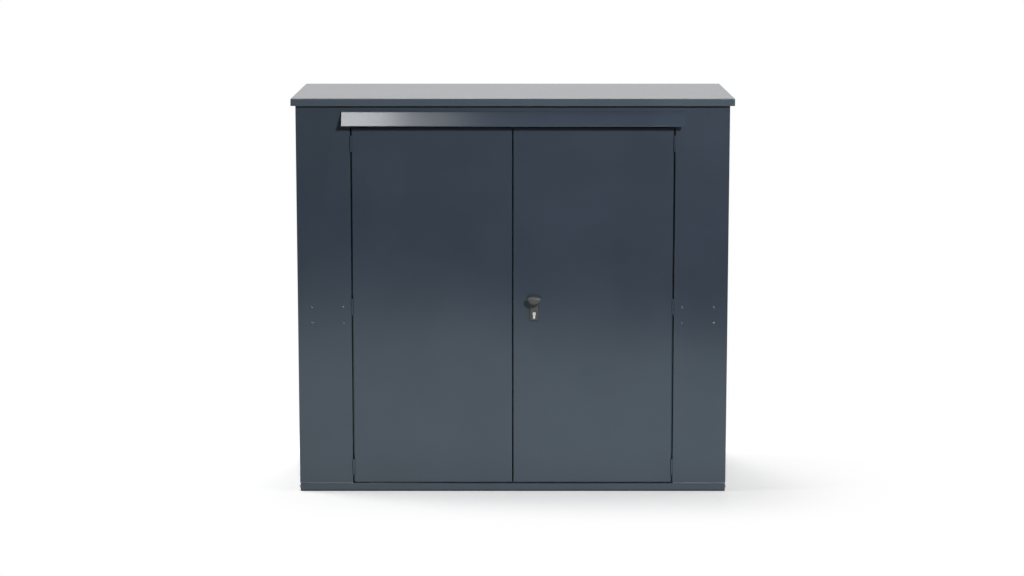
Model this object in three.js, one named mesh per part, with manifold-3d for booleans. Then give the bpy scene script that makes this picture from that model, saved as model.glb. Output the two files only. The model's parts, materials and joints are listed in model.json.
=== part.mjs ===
// A steel bicycle locker: a base of folded rails, folded wall panels, a roof tray with a rain guard under
// its lip, and two flush doors. A knob drives two long rods, and a key drives a deadbolt.
// Millimetres, +Z up. The doors face -Y, and the origin is on the ground under the middle of the whole box.

import * as THREE from "three";
import { mergeVertices } from "three/addons/utils/BufferGeometryUtils.js";
import Module from "manifold-3d";

const wasm = await Module();
wasm.setup();

// Body and roof
const bodyWidth = 2100;
const bodyDepth = 915;
const overallHeight = 1942;
const roofSideOverhang = 21;
const roofFrontOverhang = 25;
const roofRearOverhang = 20;
const roofLipHeight = 36;
const roofHem = 12;

// Sheet metal
const sheet = 1.5;
const baseSheet = 2;
const bendRadius = 2; // on the inside of each fold
const bendSteps = 3;
const wallFlange = 22; // turned in at the top and bottom of each wall
const cornerWrap = 30; // how far the front and rear panels run round each corner
const seamFlange = 25; // turned in where the two rear panels meet

// Fits
const seat = 0.3; // between pieces that rest on each other
const slide = 0.5; // between a sliding piece and its guide
const passing = 3; // between edges that only pass each other
const overrun = 5; // how far a cut runs past what it cuts
const fuse = 0.4; // how far two shapes of one solid run into each other

// Base
const baseHeight = 41;
const baseInset = 2.5; // the base is this much narrower than the body on each side
const railDepth = 40;
const railEndPlate = 5;
const bearerWidth = 50;
const bearerFoot = 20;
const bearerSpacing = 700;
const floorSheet = 2;
const anchorRadius = 6.5;
const anchorAccessRadius = 11;
const anchorFromRail = 60; // from the front or rear rail to the middle of an anchor hole

// Bolts that join the rails
const baseBoltRadius = 4;
const baseBoltHeadRadius = 7.5;
const baseBoltHeadHeight = 5.5;
const baseBoltLength = 12;

// Door opening and doors
const openingWidth = 1574;
const headerHeight = 138; // from the top of the opening to the top of the roof
const hingeGap = 7; // beside each door, where the hinge leaves lie
const meetingGap = 5.4; // between the two doors
const doorBottomGap = 4.2;
const doorTopGap = 4;
const doorDepth = 30;
const doorHem = 15;
const stopDepth = 34; // from the front face to the flange that each door closes against
const stopFlange = 20;
const stiffenerWidth = 44;
const stiffenerFoot = 18;
const stiffenerDepth = 20;
const stiffenerEndGap = 15;

// Hinges
const barrelRadius = 5;
const barrelLength = 78;
const hingePinRadius = 3;
const hingeLeaf = 2;
const hingeLeafReach = 26;
const barrelProud = 4.3; // from the front face to the hinge axis
const endHingeInset = 78; // from the top or bottom of a door to the middle of its end hinge

// Rain guard over the doors
const guardWidth = 1654;
const guardBottomGap = 4; // from the top of the opening to the guard's drip edge
const guardHeight = 70;
const guardReach = 54;
const guardLedge = 8;
const guardDrip = 4;
const guardFlange = 30;

// Bolted brace plates behind the fixed front panels
const braceBoltSpacingX = 155;
const braceBoltSpacingZ = 78;
const braceBoltFromOpening = 40; // from the edge of the opening to the nearer pair of bolts
const braceHeight = 880; // of the middle of the plate above the ground
const bracePlate = 3;
const braceMargin = 22;
const braceBoltRadius = 4;
const braceHeadRadius = 7;
const braceHeadHeight = 4;

// Roof braces
const roofBraceDepth = 25;
const roofBraceWidth = 50;
const roofBraceFoot = 20;
const roofBraceSpacing = 700;

// Vent slots in the side panels
const ventLength = 120;
const ventHeight = 6;
const ventPitch = 16;
const ventRows = 5;
const ventColumns = 2;
const ventColumnPitch = 200;
const ventFromEnd = 90; // from the top or bottom of the wall to the nearest slot

// Lock on the right door: the knob above the key cylinder, on one upright line
const lockLineX = 104.5;
const knobHeight = 958;
const knobToCylinder = 69.5;
const plateWidth = 46;
const platePastKnob = 14;
const platePastCylinder = 37.5;
const plateThickness = 6;
const plateCorner = 9;
const plateEdge = 1;
const knobWidth = 72;
const knobAbove = 20.5; // from the knob's axis to its flatter top
const knobBelow = 20.5;
const knobShoulder = 6.5; // from the axis up to where the knob is widest
const knobReach = 55; // from the front face to the front of the knob
const knobDepth = 25;
const knobRimShares = [
  [0, 0.72],
  [0.08, 0.84],
  [0.28, 0.96],
  [0.55, 1],
  [0.8, 0.93],
  [1, 0.7],
]; // how far back from the front, and how wide the knob is there
const knobNeckRadius = 11;
const spindleSize = 8;
const spindleSocket = 22; // how deep the spindle sits in the knob
const spindleHole = 7;
const journalRadius = 5;

// Key cylinder, of the usual keyhole-shaped section
const cylinderRadius = 8.5;
const cylinderHeightOverall = 33;
const cylinderStem = 10;
const cylinderProud = 2;
const plugRadius = 6;
const keywayWidth = 2.2;
const keywayHeight = 8.5;
const keywayDepth = 4;

// Lock case
const caseEdgeGap = 1.7; // from the door's edge wall to the case
const casePastLockLine = 40.5;
const casePastKnob = 48;
const casePastCylinder = 60.5;
const caseDepth = 22.5;

// Knob gear, and the rods that its two racks carry
const knobModule = 2;
const knobTeeth = 14;
const rodSize = 8;
const rodFromSkin = 4.5; // from the inside of the door skin to the rods
const rodTravelTeethShare = 3.5; // rod travel, counted in teeth
const rackSpareTeethShare = 1.5; // teeth that a rack has past the ones it uses, at each end
const rodEndInset = 1; // from the top or bottom of the door to the end of a rod at rest

// Key gear and the rack on the deadbolt
const keyModule = 1.3;
const keyTeeth = 10;
const boltHeight = 18;
const boltThickness = 6;
const boltTravelTeethShare = 5;

// Gear teeth, as shares of the module
const addendumShare = 0.75;
const dedendumShare = 1;
const backlashShare = 0.15; // taken off each flank
const pressureAngle = Math.PI / 9;

// Rod guides
const guideWidth = 28;
const guideLength = 20;
const guideWall = 4;
const guideFromEnd = 60; // from the end of the door to the middle of a guide

// Shoot bolts on the left door
const shootBoltRadius = 6;
const shootBoltLength = 230;
const shootBoltX = 40; // from the meeting line
const shootBoltHandleRadius = 3;
const shootBoltHandleLength = 9;
const shootBracketWidth = 26;
const shootBracketEar = 4;
const shootBracketLength = 96;
const shootBracketFromEnd = 70; // from the end of the door to the nearer ear

// Strike plates that stiffen the holes for rods and bolts
const strikeThickness = 3;
const strikeWidth = 20;
const strikeMargin = 16;
const strikeSetback = 3; // from the rods' line to the middle of a strike plate

// Counts of sides on round pieces
const roundSides = 16;
const smallSides = 12;
const hexSides = 6;
const knobSides = 28;
const domeRings = 4;
const cylinderSteps = 6;
const slotEndSteps = 1;

// Places worked out from the sizes
const halfWidth = bodyWidth / 2;
const frontReach = Math.max(knobReach, guardReach, roofFrontOverhang);
const frontY = frontReach - (frontReach + bodyDepth + roofRearOverhang) / 2;
const rearY = frontY + bodyDepth;
const wallBottom = baseHeight + seat;
const wallTop = overallHeight - sheet - seat;
const openingHalf = openingWidth / 2;
const openingTop = overallHeight - headerHeight;
const doorOuter = openingHalf - hingeGap;
const doorInner = meetingGap / 2;
const doorBottom = baseHeight + doorBottomGap;
const doorTop = openingTop - doorTopGap;
const skinBack = frontY + sheet;
const baseHalf = halfWidth - baseInset;
const railHalf = baseHalf - baseSheet - seat;
const hingeX = openingHalf - hingeGap / 2;
const hingeY = frontY - barrelProud;
const sideFace = halfWidth - sheet - seat;
const cylinderHeight = knobHeight - knobToCylinder;
const knobPitchRadius = (knobModule * knobTeeth) / 2;
const keyPitchRadius = (keyModule * keyTeeth) / 2;
const knobToothPitch = Math.PI * knobModule;
const keyToothPitch = Math.PI * keyModule;
const rodTravel = rodTravelTeethShare * knobToothPitch;
const boltTravel = boltTravelTeethShare * keyToothPitch;
const rodFront = skinBack + rodFromSkin;
const rodBack = rodFront + rodSize;
const rodY = (rodFront + rodBack) / 2;
const rackRoot = knobPitchRadius + dedendumShare * knobModule;
const topRodX = lockLineX - rackRoot - rodSize / 2;
const bottomRodX = lockLineX + rackRoot + rodSize / 2;
const rodHole = (rodSize / 2) * Math.SQRT2 + slide;
const boltFront = rodBack + slide + seat;
const boltBack = boltFront + boltThickness;
const boltRackZ = cylinderHeight + keyPitchRadius + dedendumShare * keyModule;
const caseFront = skinBack + seat;
const caseBack = caseFront + caseDepth;
const caseNearWall = doorInner + sheet + caseEdgeGap;
const caseFarWall = lockLineX + casePastLockLine;
const caseBottom = cylinderHeight - casePastCylinder;
const caseTop = knobHeight + casePastKnob;
const plateBack = frontY - seat;
const plateFront = plateBack - plateThickness;

// Solids

// A closed geometry as a solid that can be joined and cut.
function solidOf(geometry) {
  geometry.deleteAttribute("normal");
  geometry.deleteAttribute("uv");
  const merged = mergeVertices(geometry);
  return new wasm.Manifold(
    new wasm.Mesh({
      numProp: 3,
      vertProperties: merged.attributes.position.array,
      triVerts: new Uint32Array(merged.index.array),
    }),
  );
}

// A solid back as a geometry, with a face normal for each triangle.
function geometryOf(solid) {
  const { vertProperties, triVerts } = solid.getMesh();
  const indexed = new THREE.BufferGeometry()
    .setAttribute("position", new THREE.BufferAttribute(vertProperties, 3))
    .setIndex(new THREE.BufferAttribute(triVerts, 1));
  const geometry = indexed.toNonIndexed();
  geometry.computeVertexNormals();
  return geometry;
}

function joined(...solids) {
  return solids.reduce((whole, next) => whole.add(next));
}

function cut(solid, ...tools) {
  return tools.reduce((left, tool) => left.subtract(tool), solid);
}

// A box from its lowest corner to its highest.
function block([x0, y0, z0], [x1, y1, z1]) {
  const geometry = new THREE.BoxGeometry(x1 - x0, y1 - y0, z1 - z0);
  geometry.translate((x0 + x1) / 2, (y0 + y1) / 2, (z0 + z1) / 2);
  return solidOf(geometry);
}

// A round bar between two points.
function bar(radius, from, to, sides = smallSides) {
  const start = new THREE.Vector3(...from);
  const end = new THREE.Vector3(...to);
  const along = end.clone().sub(start);
  const geometry = new THREE.CylinderGeometry(radius, radius, along.length(), sides);
  geometry.applyQuaternion(
    new THREE.Quaternion().setFromUnitVectors(new THREE.Vector3(0, 1, 0), along.normalize()),
  );
  geometry.translate(...start.add(end).divideScalar(2).toArray());
  return solidOf(geometry);
}

// Which world axes an outline's two axes and its push follow.
const pushes = {
  x: { u: [0, 1, 0], v: [0, 0, 1], w: [1, 0, 0] },
  y: { u: [1, 0, 0], v: [0, 0, 1], w: [0, -1, 0] },
  z: { u: [1, 0, 0], v: [0, 1, 0], w: [0, 0, 1] },
};

// An outline pushed along an axis from one place to another: (y, z) along x, (x, z) along y, and
// (x, y) along z.
// An edge rounds off the rim of the end that the push reaches last: the right, front or top one.
function push(axis, shape, from, to, { edge = 0, steps = bendSteps } = {}) {
  const depth = to - from;
  const geometry = new THREE.ExtrudeGeometry(shape, {
    depth,
    curveSegments: steps,
    bevelEnabled: edge > 0,
    bevelThickness: edge,
    bevelSize: edge,
    bevelOffset: -edge,
    bevelSegments: steps,
  });
  if (edge > 0) geometry.translate(0, 0, -edge);
  const { u, v, w } = pushes[axis];
  const toVector = (list) => new THREE.Vector3(...list);
  geometry.applyMatrix4(new THREE.Matrix4().makeBasis(toVector(u), toVector(v), toVector(w)));
  const start = axis === "y" ? to : from;
  geometry.translate(...w.map((share) => Math.abs(share) * start));
  const solid = solidOf(geometry);
  return edge > 0 ? solid.intersect(push(axis, shape, from, to, { steps })) : solid;
}

function polygon(points) {
  return new THREE.Shape(points.map(([u, v]) => new THREE.Vector2(u, v)));
}

function rectangle(u0, u1, v0, v1) {
  return polygon([
    [u0, v0],
    [u1, v0],
    [u1, v1],
    [u0, v1],
  ]);
}

// A rectangle with rounded corners.
function roundedRectangle(u0, u1, v0, v1, radius) {
  const shape = new THREE.Shape();
  shape.absarc(u0 + radius, v0 + radius, radius, Math.PI, 1.5 * Math.PI);
  shape.absarc(u1 - radius, v0 + radius, radius, 1.5 * Math.PI, 2 * Math.PI);
  shape.absarc(u1 - radius, v1 - radius, radius, 0, 0.5 * Math.PI);
  shape.absarc(u0 + radius, v1 - radius, radius, 0.5 * Math.PI, Math.PI);
  shape.closePath();
  return shape;
}

// The outline of a folded sheet. Its points run along the show face, which lies on the right of the way
// that they run, and each fold is an arc.
function folded(points, thickness) {
  const path = points.map(([u, v]) => new THREE.Vector2(u, v));
  const toLeft = (way) => new THREE.Vector2(-way.y, way.x);
  const show = [];
  const back = [];
  path.forEach((point, i) => {
    const before = i > 0 ? point.clone().sub(path[i - 1]).normalize() : null;
    const after = i < path.length - 1 ? path[i + 1].clone().sub(point).normalize() : null;
    if (!before || !after) {
      show.push(point.clone());
      back.push(point.clone().addScaledVector(toLeft(before || after), thickness));
      return;
    }
    const turn = Math.atan2(before.cross(after), before.dot(after));
    const side = Math.sign(turn);
    const showRadius = side > 0 ? bendRadius + thickness : bendRadius;
    const backRadius = side > 0 ? bendRadius : bendRadius + thickness;
    const centre = point
      .clone()
      .addScaledVector(before, -showRadius * Math.tan(Math.abs(turn) / 2))
      .addScaledVector(toLeft(before), side * showRadius);
    for (let k = 0; k <= bendSteps; k++) {
      const outward = toLeft(before).multiplyScalar(-side);
      outward.rotateAround(new THREE.Vector2(), (turn * k) / bendSteps);
      show.push(centre.clone().addScaledVector(outward, showRadius));
      back.push(centre.clone().addScaledVector(outward, backRadius));
    }
  });
  return new THREE.Shape([...show, ...back.reverse()]);
}

// The outline of a top-hat section: a crown between two feet, drawn from its right foot to its left one
// when the crown points along +v, and the other way when it points along -v.
function topHat(middle, footFace, crownFace, crownWidth, foot, thickness) {
  const way = Math.sign(crownFace - footFace);
  const half = (way * crownWidth) / 2;
  return folded(
    [
      [middle + half + way * foot, footFace],
      [middle + half, footFace],
      [middle + half, crownFace],
      [middle - half, crownFace],
      [middle - half, footFace],
      [middle - half - way * foot, footFace],
    ],
    thickness,
  );
}

// Materials

function finish(color, roughness, metalness) {
  return new THREE.MeshStandardMaterial({ color, roughness, metalness });
}

const powderCoat = finish("#424b54", 0.4, 0.1);
const galvanised = finish("#9aa0a3", 0.5, 0.8);
const zincPlated = finish("#b4b8b6", 0.35, 0.9);
const blackHandle = finish("#4b4b49", 0.45, 0.2);
const nickel = finish("#c9cac6", 0.25, 1);
const darkSteel = finish("#50565c", 0.4, 0.6);

// Assembly

const locker = new THREE.Group();
const cabinet = new THREE.Group();
const leftDoor = new THREE.Group();
const rightDoor = new THREE.Group();
locker.add(cabinet, leftDoor, rightDoor);

// A named piece in its group. A mirrored one is turned over to the other side of the locker.
function addPiece(group, name, solid, material, { mirrored = false, height = 0 } = {}) {
  const mesh = new THREE.Mesh(geometryOf(solid), material.clone());
  mesh.name = name;
  if (mirrored) mesh.scale.x = -1;
  mesh.position.z = height;
  group.add(mesh);
}

// The same piece on both sides, made for the left one.
function addPair(group, name, solid, material) {
  addPiece(group, "left_" + name, solid, material);
  addPiece(group, "right_" + name, solid, material, { mirrored: true });
}

// Holes shared by pieces that the rods and bolts pass

const rodHoles = [
  { x: topRodX, y: rodY, radius: rodHole, upper: true },
  { x: bottomRodX, y: rodY, radius: rodHole, upper: false },
];
const shootBoltHole = { x: -shootBoltX, y: rodY, radius: shootBoltRadius + slide };

function uprightHole({ x, y, radius }, from, to) {
  return bar(radius, [x, y, from], [x, y, to], roundSides);
}

// Base

function frontRail() {
  const section = folded(
    [
      [frontY + railDepth, baseHeight],
      [frontY, baseHeight],
      [frontY, 0],
      [frontY + railDepth, 0],
    ],
    baseSheet,
  );
  const holes = [rodHoles[1], shootBoltHole].map((hole) =>
    uprightHole(hole, baseHeight - baseSheet - overrun, baseHeight + overrun),
  );
  return cut(withEndPlates(push("x", section, -railHalf, railHalf), frontY), ...holes);
}

function rearRail() {
  const section = folded(
    [
      [rearY - railDepth, 0],
      [rearY, 0],
      [rearY, baseHeight],
      [rearY - railDepth, baseHeight],
    ],
    baseSheet,
  );
  return withEndPlates(push("x", section, -railHalf, railHalf), rearY - railDepth);
}

// Plates that close a rail's ends and take the corner bolts, with a tapped hole in each.
function withEndPlates(rail, fromY) {
  const inFrom = fromY + baseSheet - fuse;
  const inTo = fromY + railDepth - baseSheet + fuse;
  let whole = rail;
  for (const side of [-1, 1]) {
    const ends = [side * railHalf, side * (railHalf - railEndPlate)].sort((a, b) => a - b);
    const plate = block(
      [ends[0], inFrom, baseSheet - fuse],
      [ends[1], inTo, baseHeight - baseSheet + fuse],
    );
    const hole = bar(
      baseBoltRadius + seat,
      [ends[0] - overrun, fromY + railDepth / 2, baseHeight / 2],
      [ends[1] + overrun, fromY + railDepth / 2, baseHeight / 2],
    );
    whole = cut(joined(whole, plate), hole);
  }
  return whole;
}

// A side rail, with its flanges cut back where the front and rear rails meet it.
function sideRail() {
  const section = folded(
    [
      [-baseHalf + railDepth, baseHeight],
      [-baseHalf, baseHeight],
      [-baseHalf, 0],
      [-baseHalf + railDepth, 0],
    ],
    baseSheet,
  );
  const rail = push("y", section, frontY, rearY);
  const copes = [
    [frontY - overrun, frontY + railDepth + seat],
    [rearY - railDepth - seat, rearY + overrun],
  ].map(([from, to]) =>
    block(
      [-baseHalf + baseSheet, from, -overrun],
      [-baseHalf + railDepth + overrun, to, baseHeight + overrun],
    ),
  );
  const boltHoles = [frontY + railDepth / 2, rearY - railDepth / 2].map((y) =>
    bar(
      baseBoltRadius + seat,
      [-baseHalf - overrun, y, baseHeight / 2],
      [-baseHalf + baseSheet + overrun, y, baseHeight / 2],
    ),
  );
  const x = -baseHalf + railDepth / 2;
  const anchorHoles = anchorPlaces().flatMap((y) => [
    bar(anchorRadius, [x, y, -overrun], [x, y, baseSheet + overrun]),
    bar(anchorAccessRadius, [x, y, baseHeight - baseSheet - overrun], [x, y, baseHeight + overrun]),
  ]);
  return cut(rail, ...copes, ...boltHoles, ...anchorHoles);
}

function anchorPlaces() {
  return [frontY + railDepth + anchorFromRail, rearY - railDepth - anchorFromRail];
}

// A hexagon-headed bolt through the side rail into an end plate.
function baseBolt(y) {
  const z = baseHeight / 2;
  const headBack = -baseHalf - seat;
  const head = bar(baseBoltHeadRadius, [headBack - baseBoltHeadHeight, y, z], [headBack, y, z], hexSides);
  const shank = bar(baseBoltRadius, [headBack - fuse, y, z], [headBack + baseBoltLength, y, z]);
  return joined(head, shank);
}

function floorBearer() {
  const section = topHat(-bearerSpacing / 2, baseSheet, baseHeight, bearerWidth, bearerFoot, baseSheet);
  return push("y", section, frontY + railDepth + seat, rearY - railDepth - seat);
}

function floorPanel() {
  const inset = wallFlange + passing;
  const x = -baseHalf + railDepth / 2;
  const panel = block(
    [-halfWidth + inset, frontY + inset, wallBottom],
    [halfWidth - inset, rearY - inset, wallBottom + floorSheet],
  );
  const access = anchorPlaces().flatMap((y) =>
    [x, -x].map((side) =>
      bar(anchorAccessRadius, [side, y, wallBottom - overrun], [side, y, wallBottom + overrun]),
    ),
  );
  const jambNotch = (from, to) =>
    block(
      [from, frontY, wallBottom - overrun],
      [to, frontY + stopDepth + sheet + passing, wallBottom + floorSheet + overrun],
    );
  const notchInner = openingHalf - stopFlange - passing;
  const notchOuter = openingHalf + sheet + passing;
  return cut(panel, ...access, jambNotch(-notchOuter, -notchInner), jambNotch(notchInner, notchOuter));
}

addPiece(cabinet, "base_front_rail", frontRail(), powderCoat);
addPiece(cabinet, "base_rear_rail", rearRail(), powderCoat);
addPair(cabinet, "base_side_rail", sideRail(), powderCoat);
addPair(cabinet, "base_front_bolt", baseBolt(frontY + railDepth / 2), zincPlated);
addPair(cabinet, "base_rear_bolt", baseBolt(rearY - railDepth / 2), zincPlated);
addPair(cabinet, "floor_bearer", floorBearer(), galvanised);
addPiece(cabinet, "floor_panel", floorPanel(), galvanised);

// Walls

// The flanges at the top and bottom of a front or rear panel, from one x to another.
function wallFlanges(x0, x1, y0, y1) {
  return [
    block([x0, y0, wallBottom], [x1, y1, wallBottom + sheet]),
    block([x0, y0, wallTop - sheet], [x1, y1, wallTop]),
  ];
}

// A slot with round ends through a side panel.
function ventSlot(y, z) {
  const outline = roundedRectangle(
    y - ventLength / 2,
    y + ventLength / 2,
    z - ventHeight / 2,
    z + ventHeight / 2,
    ventHeight / 2,
  );
  return push("x", outline, -sideFace - overrun, -sideFace + sheet + overrun, { steps: slotEndSteps });
}

function sidePanel() {
  const section = folded(
    [
      [-sideFace + wallFlange, wallTop],
      [-sideFace, wallTop],
      [-sideFace, wallBottom],
      [-sideFace + wallFlange, wallBottom],
    ],
    sheet,
  );
  const endGap = sheet + bendRadius + passing;
  const panel = push("y", section, frontY + endGap, rearY - endGap);
  const copeDepth = wallFlange + passing;
  const copes = [
    [frontY - overrun, frontY + copeDepth],
    [rearY - copeDepth, rearY + overrun],
  ].map(([from, to]) =>
    block([-sideFace + sheet, from, 0], [-sideFace + wallFlange + overrun, to, overallHeight]),
  );
  const vents = [];
  const middleY = (frontY + rearY) / 2;
  for (let row = 0; row < ventRows; row++) {
    for (let column = 0; column < ventColumns; column++) {
      const y = middleY + (column - (ventColumns - 1) / 2) * ventColumnPitch;
      const fromEnd = ventFromEnd + row * ventPitch;
      vents.push(ventSlot(y, wallBottom + fromEnd), ventSlot(y, wallTop - fromEnd));
    }
  }
  return cut(panel, ...copes, ...vents);
}

// A fixed front panel: it wraps the corner, and beside the opening it turns in as the jamb and its stop.
function frontPanel() {
  const face = [
    [-halfWidth, frontY + cornerWrap],
    [-halfWidth, frontY],
    [-openingHalf, frontY],
  ];
  const jamb = [
    [-openingHalf, frontY + stopDepth],
    [-openingHalf + stopFlange, frontY + stopDepth],
  ];
  const jambTop = openingTop - seat;
  const lower = push("z", folded([...face, ...jamb], sheet), wallBottom, jambTop);
  const upper = push("z", folded(face, sheet), jambTop - fuse, wallTop);
  const flanges = wallFlanges(
    -sideFace + sheet + seat,
    -openingHalf - sheet + fuse,
    skinBack - fuse,
    frontY + wallFlange,
  );
  const holes = braceBoltPlaces().map(([x, z]) =>
    bar(braceBoltRadius + seat, [x, frontY - overrun, z], [x, skinBack + overrun, z]),
  );
  return cut(joined(lower, upper, ...flanges), ...holes);
}

function rearPanel() {
  const middle = -seat / 2;
  const section = folded(
    [
      [middle, rearY - seamFlange],
      [middle, rearY],
      [-halfWidth, rearY],
      [-halfWidth, rearY - cornerWrap],
    ],
    sheet,
  );
  const flanges = wallFlanges(
    -sideFace + sheet + seat,
    middle - sheet + fuse,
    rearY - wallFlange,
    rearY - sheet + fuse,
  );
  return joined(push("z", section, wallBottom, wallTop), ...flanges);
}

// The panel over the doors. Its lower edge turns in, and then down as the stop for the tops of the doors.
function headerPanel() {
  const half = openingHalf - seat;
  const section = folded(
    [
      [frontY + wallFlange, wallTop],
      [frontY, wallTop],
      [frontY, openingTop],
      [frontY + stopDepth, openingTop],
      [frontY + stopDepth, openingTop - stopFlange],
    ],
    sheet,
  );
  const stopEnd = openingHalf - stopFlange - seat;
  const stopTrims = [
    [-halfWidth, -stopEnd],
    [stopEnd, halfWidth],
  ].map(([from, to]) =>
    block(
      [from, frontY, openingTop - stopFlange - overrun],
      [to, frontY + stopDepth + sheet + overrun, openingTop],
    ),
  );
  const holes = [rodHoles[0], shootBoltHole].map((hole) =>
    uprightHole(hole, openingTop - overrun, openingTop + sheet + overrun),
  );
  return cut(push("x", section, -half, half), ...stopTrims, ...holes);
}

addPair(cabinet, "side_panel", sidePanel(), powderCoat);
addPair(cabinet, "front_panel", frontPanel(), powderCoat);
addPair(cabinet, "rear_panel", rearPanel(), powderCoat);
addPiece(cabinet, "header_panel", headerPanel(), powderCoat);

// Brace plates with the dome-headed bolts that show on the front panels

function braceBoltPlaces() {
  const nearX = -openingHalf - braceBoltFromOpening;
  return [nearX, nearX - braceBoltSpacingX].flatMap((x) =>
    [-1, 1].map((side) => [x, braceHeight + (side * braceBoltSpacingZ) / 2]),
  );
}

// A low dome with its flat side towards +Y.
function domeHead(x, y, z) {
  const profile = [new THREE.Vector2(0, 0), new THREE.Vector2(braceHeadRadius, 0)];
  for (let k = 1; k <= domeRings; k++) {
    const angle = (k / domeRings) * (Math.PI / 2);
    const radius = k < domeRings ? braceHeadRadius * Math.cos(angle) : 0;
    profile.push(new THREE.Vector2(radius, braceHeadHeight * Math.sin(angle)));
  }
  const geometry = new THREE.LatheGeometry(profile, smallSides);
  geometry.rotateX(Math.PI);
  geometry.translate(x, y, z);
  return solidOf(geometry);
}

function bracePlateWithBolts() {
  const places = braceBoltPlaces();
  const xs = places.map(([x]) => x);
  const zs = places.map(([, z]) => z);
  const plateY = skinBack + seat;
  const plate = block(
    [Math.min(...xs) - braceMargin, plateY, Math.min(...zs) - braceMargin],
    [Math.max(...xs) + braceMargin, plateY + bracePlate, Math.max(...zs) + braceMargin],
  );
  const bolts = places.flatMap(([x, z]) => [
    bar(braceBoltRadius, [x, frontY - seat - fuse, z], [x, plateY + fuse, z]),
    domeHead(x, frontY - seat, z),
  ]);
  return joined(plate, ...bolts);
}

addPair(cabinet, "brace_plate", bracePlateWithBolts(), darkSteel);

// Roof

function roofTray() {
  const x1 = halfWidth + roofSideOverhang;
  const y0 = frontY - roofFrontOverhang;
  const y1 = rearY + roofRearOverhang;
  const lipBottom = overallHeight - roofLipHeight;
  const edge = bendRadius + sheet;
  const outer = push("z", rectangle(-x1, x1, y0, y1), lipBottom, overallHeight, { edge });
  const inner = block(
    [-x1 + sheet, y0 + sheet, lipBottom + sheet],
    [x1 - sheet, y1 - sheet, overallHeight - sheet],
  );
  const mouth = block(
    [-x1 + roofHem, y0 + roofHem, lipBottom - overrun],
    [x1 - roofHem, y1 - roofHem, lipBottom + sheet + fuse],
  );
  return cut(outer, inner, mouth);
}

function roofBrace() {
  const section = topHat(
    -roofBraceSpacing / 2,
    wallTop - sheet,
    wallTop - roofBraceDepth,
    roofBraceWidth,
    roofBraceFoot,
    sheet,
  );
  return push("y", section, frontY + wallFlange + passing, rearY - wallFlange - passing);
}

// The sloping guard over the doors: a flange on the header, a ledge, the slope and a drip edge, with the
// ends closed by cheeks.
function rainGuard() {
  const back = frontY - seat;
  const bottom = openingTop + guardBottomGap;
  const top = bottom + guardHeight;
  const front = frontY - guardReach;
  const section = folded(
    [
      [back, top - guardFlange],
      [back, top],
      [frontY - guardLedge, top],
      [front, bottom + guardDrip],
      [front, bottom],
    ],
    sheet,
  );
  const inset = sheet / 2;
  const corner = bendRadius + sheet / 3;
  const cheek = polygon([
    [back - inset, top - guardFlange + fuse],
    [back - inset, top - corner],
    [back - corner, top - inset],
    [frontY - guardLedge, top - inset],
    [front + inset, bottom + guardDrip],
    [front + inset, bottom + fuse],
  ]);
  const half = guardWidth / 2;
  return joined(
    push("x", section, -half, half),
    push("x", cheek, -half + fuse, -half + fuse + sheet),
    push("x", cheek, half - fuse - sheet, half - fuse),
  );
}

addPiece(cabinet, "roof_tray", roofTray(), powderCoat);
addPair(cabinet, "roof_brace", roofBrace(), galvanised);
addPiece(cabinet, "rain_guard", rainGuard(), powderCoat);

// Strike plates on the inside of the header's lower edge and of the front rail's top

function strikePlate(hole, z) {
  const holes = [hole, shootBoltHole];
  const plate = block(
    [-shootBoltX - strikeMargin, rodY + strikeSetback - strikeWidth / 2, z],
    [hole.x + strikeMargin, rodY + strikeSetback + strikeWidth / 2, z + strikeThickness],
  );
  return cut(plate, ...holes.map((one) => uprightHole(one, z - overrun, z + strikeThickness + overrun)));
}

const topStrikeZ = openingTop + sheet + seat;
const bottomStrikeZ = baseHeight - baseSheet - seat - strikeThickness;
addPiece(cabinet, "top_strike_plate", strikePlate(rodHoles[0], topStrikeZ), zincPlated);
addPiece(cabinet, "bottom_strike_plate", strikePlate(rodHoles[1], bottomStrikeZ), zincPlated);

// Hinges: three on each door, made for the left one with the middle of the barrel at z = 0

const knuckleLength = barrelLength / 3;

function knuckle(radius, from, to) {
  return bar(radius, [-hingeX, hingeY, from], [-hingeX, hingeY, to], roundSides);
}

// A leaf beside the jamb or the door, and the strip that joins it to its knuckles over some heights.
function leaf(nearX, knuckleSpans) {
  const half = barrelLength / 2;
  const x0 = nearX;
  const x1 = nearX + hingeLeaf;
  const leafFront = hingeY + barrelRadius + seat;
  const strips = knuckleSpans.map(([from, to]) =>
    block([x0, hingeY, from], [x1, leafFront + fuse, to]),
  );
  return joined(block([x0, leafFront, -half], [x1, frontY + hingeLeafReach, half]), ...strips);
}

function frameLeaf() {
  const half = barrelLength / 2;
  const inner = knuckleLength / 2 + seat / 2;
  const spans = [
    [-half, -inner],
    [inner, half],
  ];
  const knuckles = spans.map(([from, to]) => knuckle(barrelRadius, from, to));
  const pin = knuckle(hingePinRadius, -half + fuse, half - fuse);
  return joined(leaf(-openingHalf + seat, spans), ...knuckles, pin);
}

function doorLeaf() {
  const span = [-knuckleLength / 2 + seat / 2, knuckleLength / 2 - seat / 2];
  const whole = joined(leaf(-doorOuter - seat - hingeLeaf, [span]), knuckle(barrelRadius, ...span));
  return cut(whole, knuckle(hingePinRadius + seat, -barrelLength, barrelLength));
}

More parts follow.
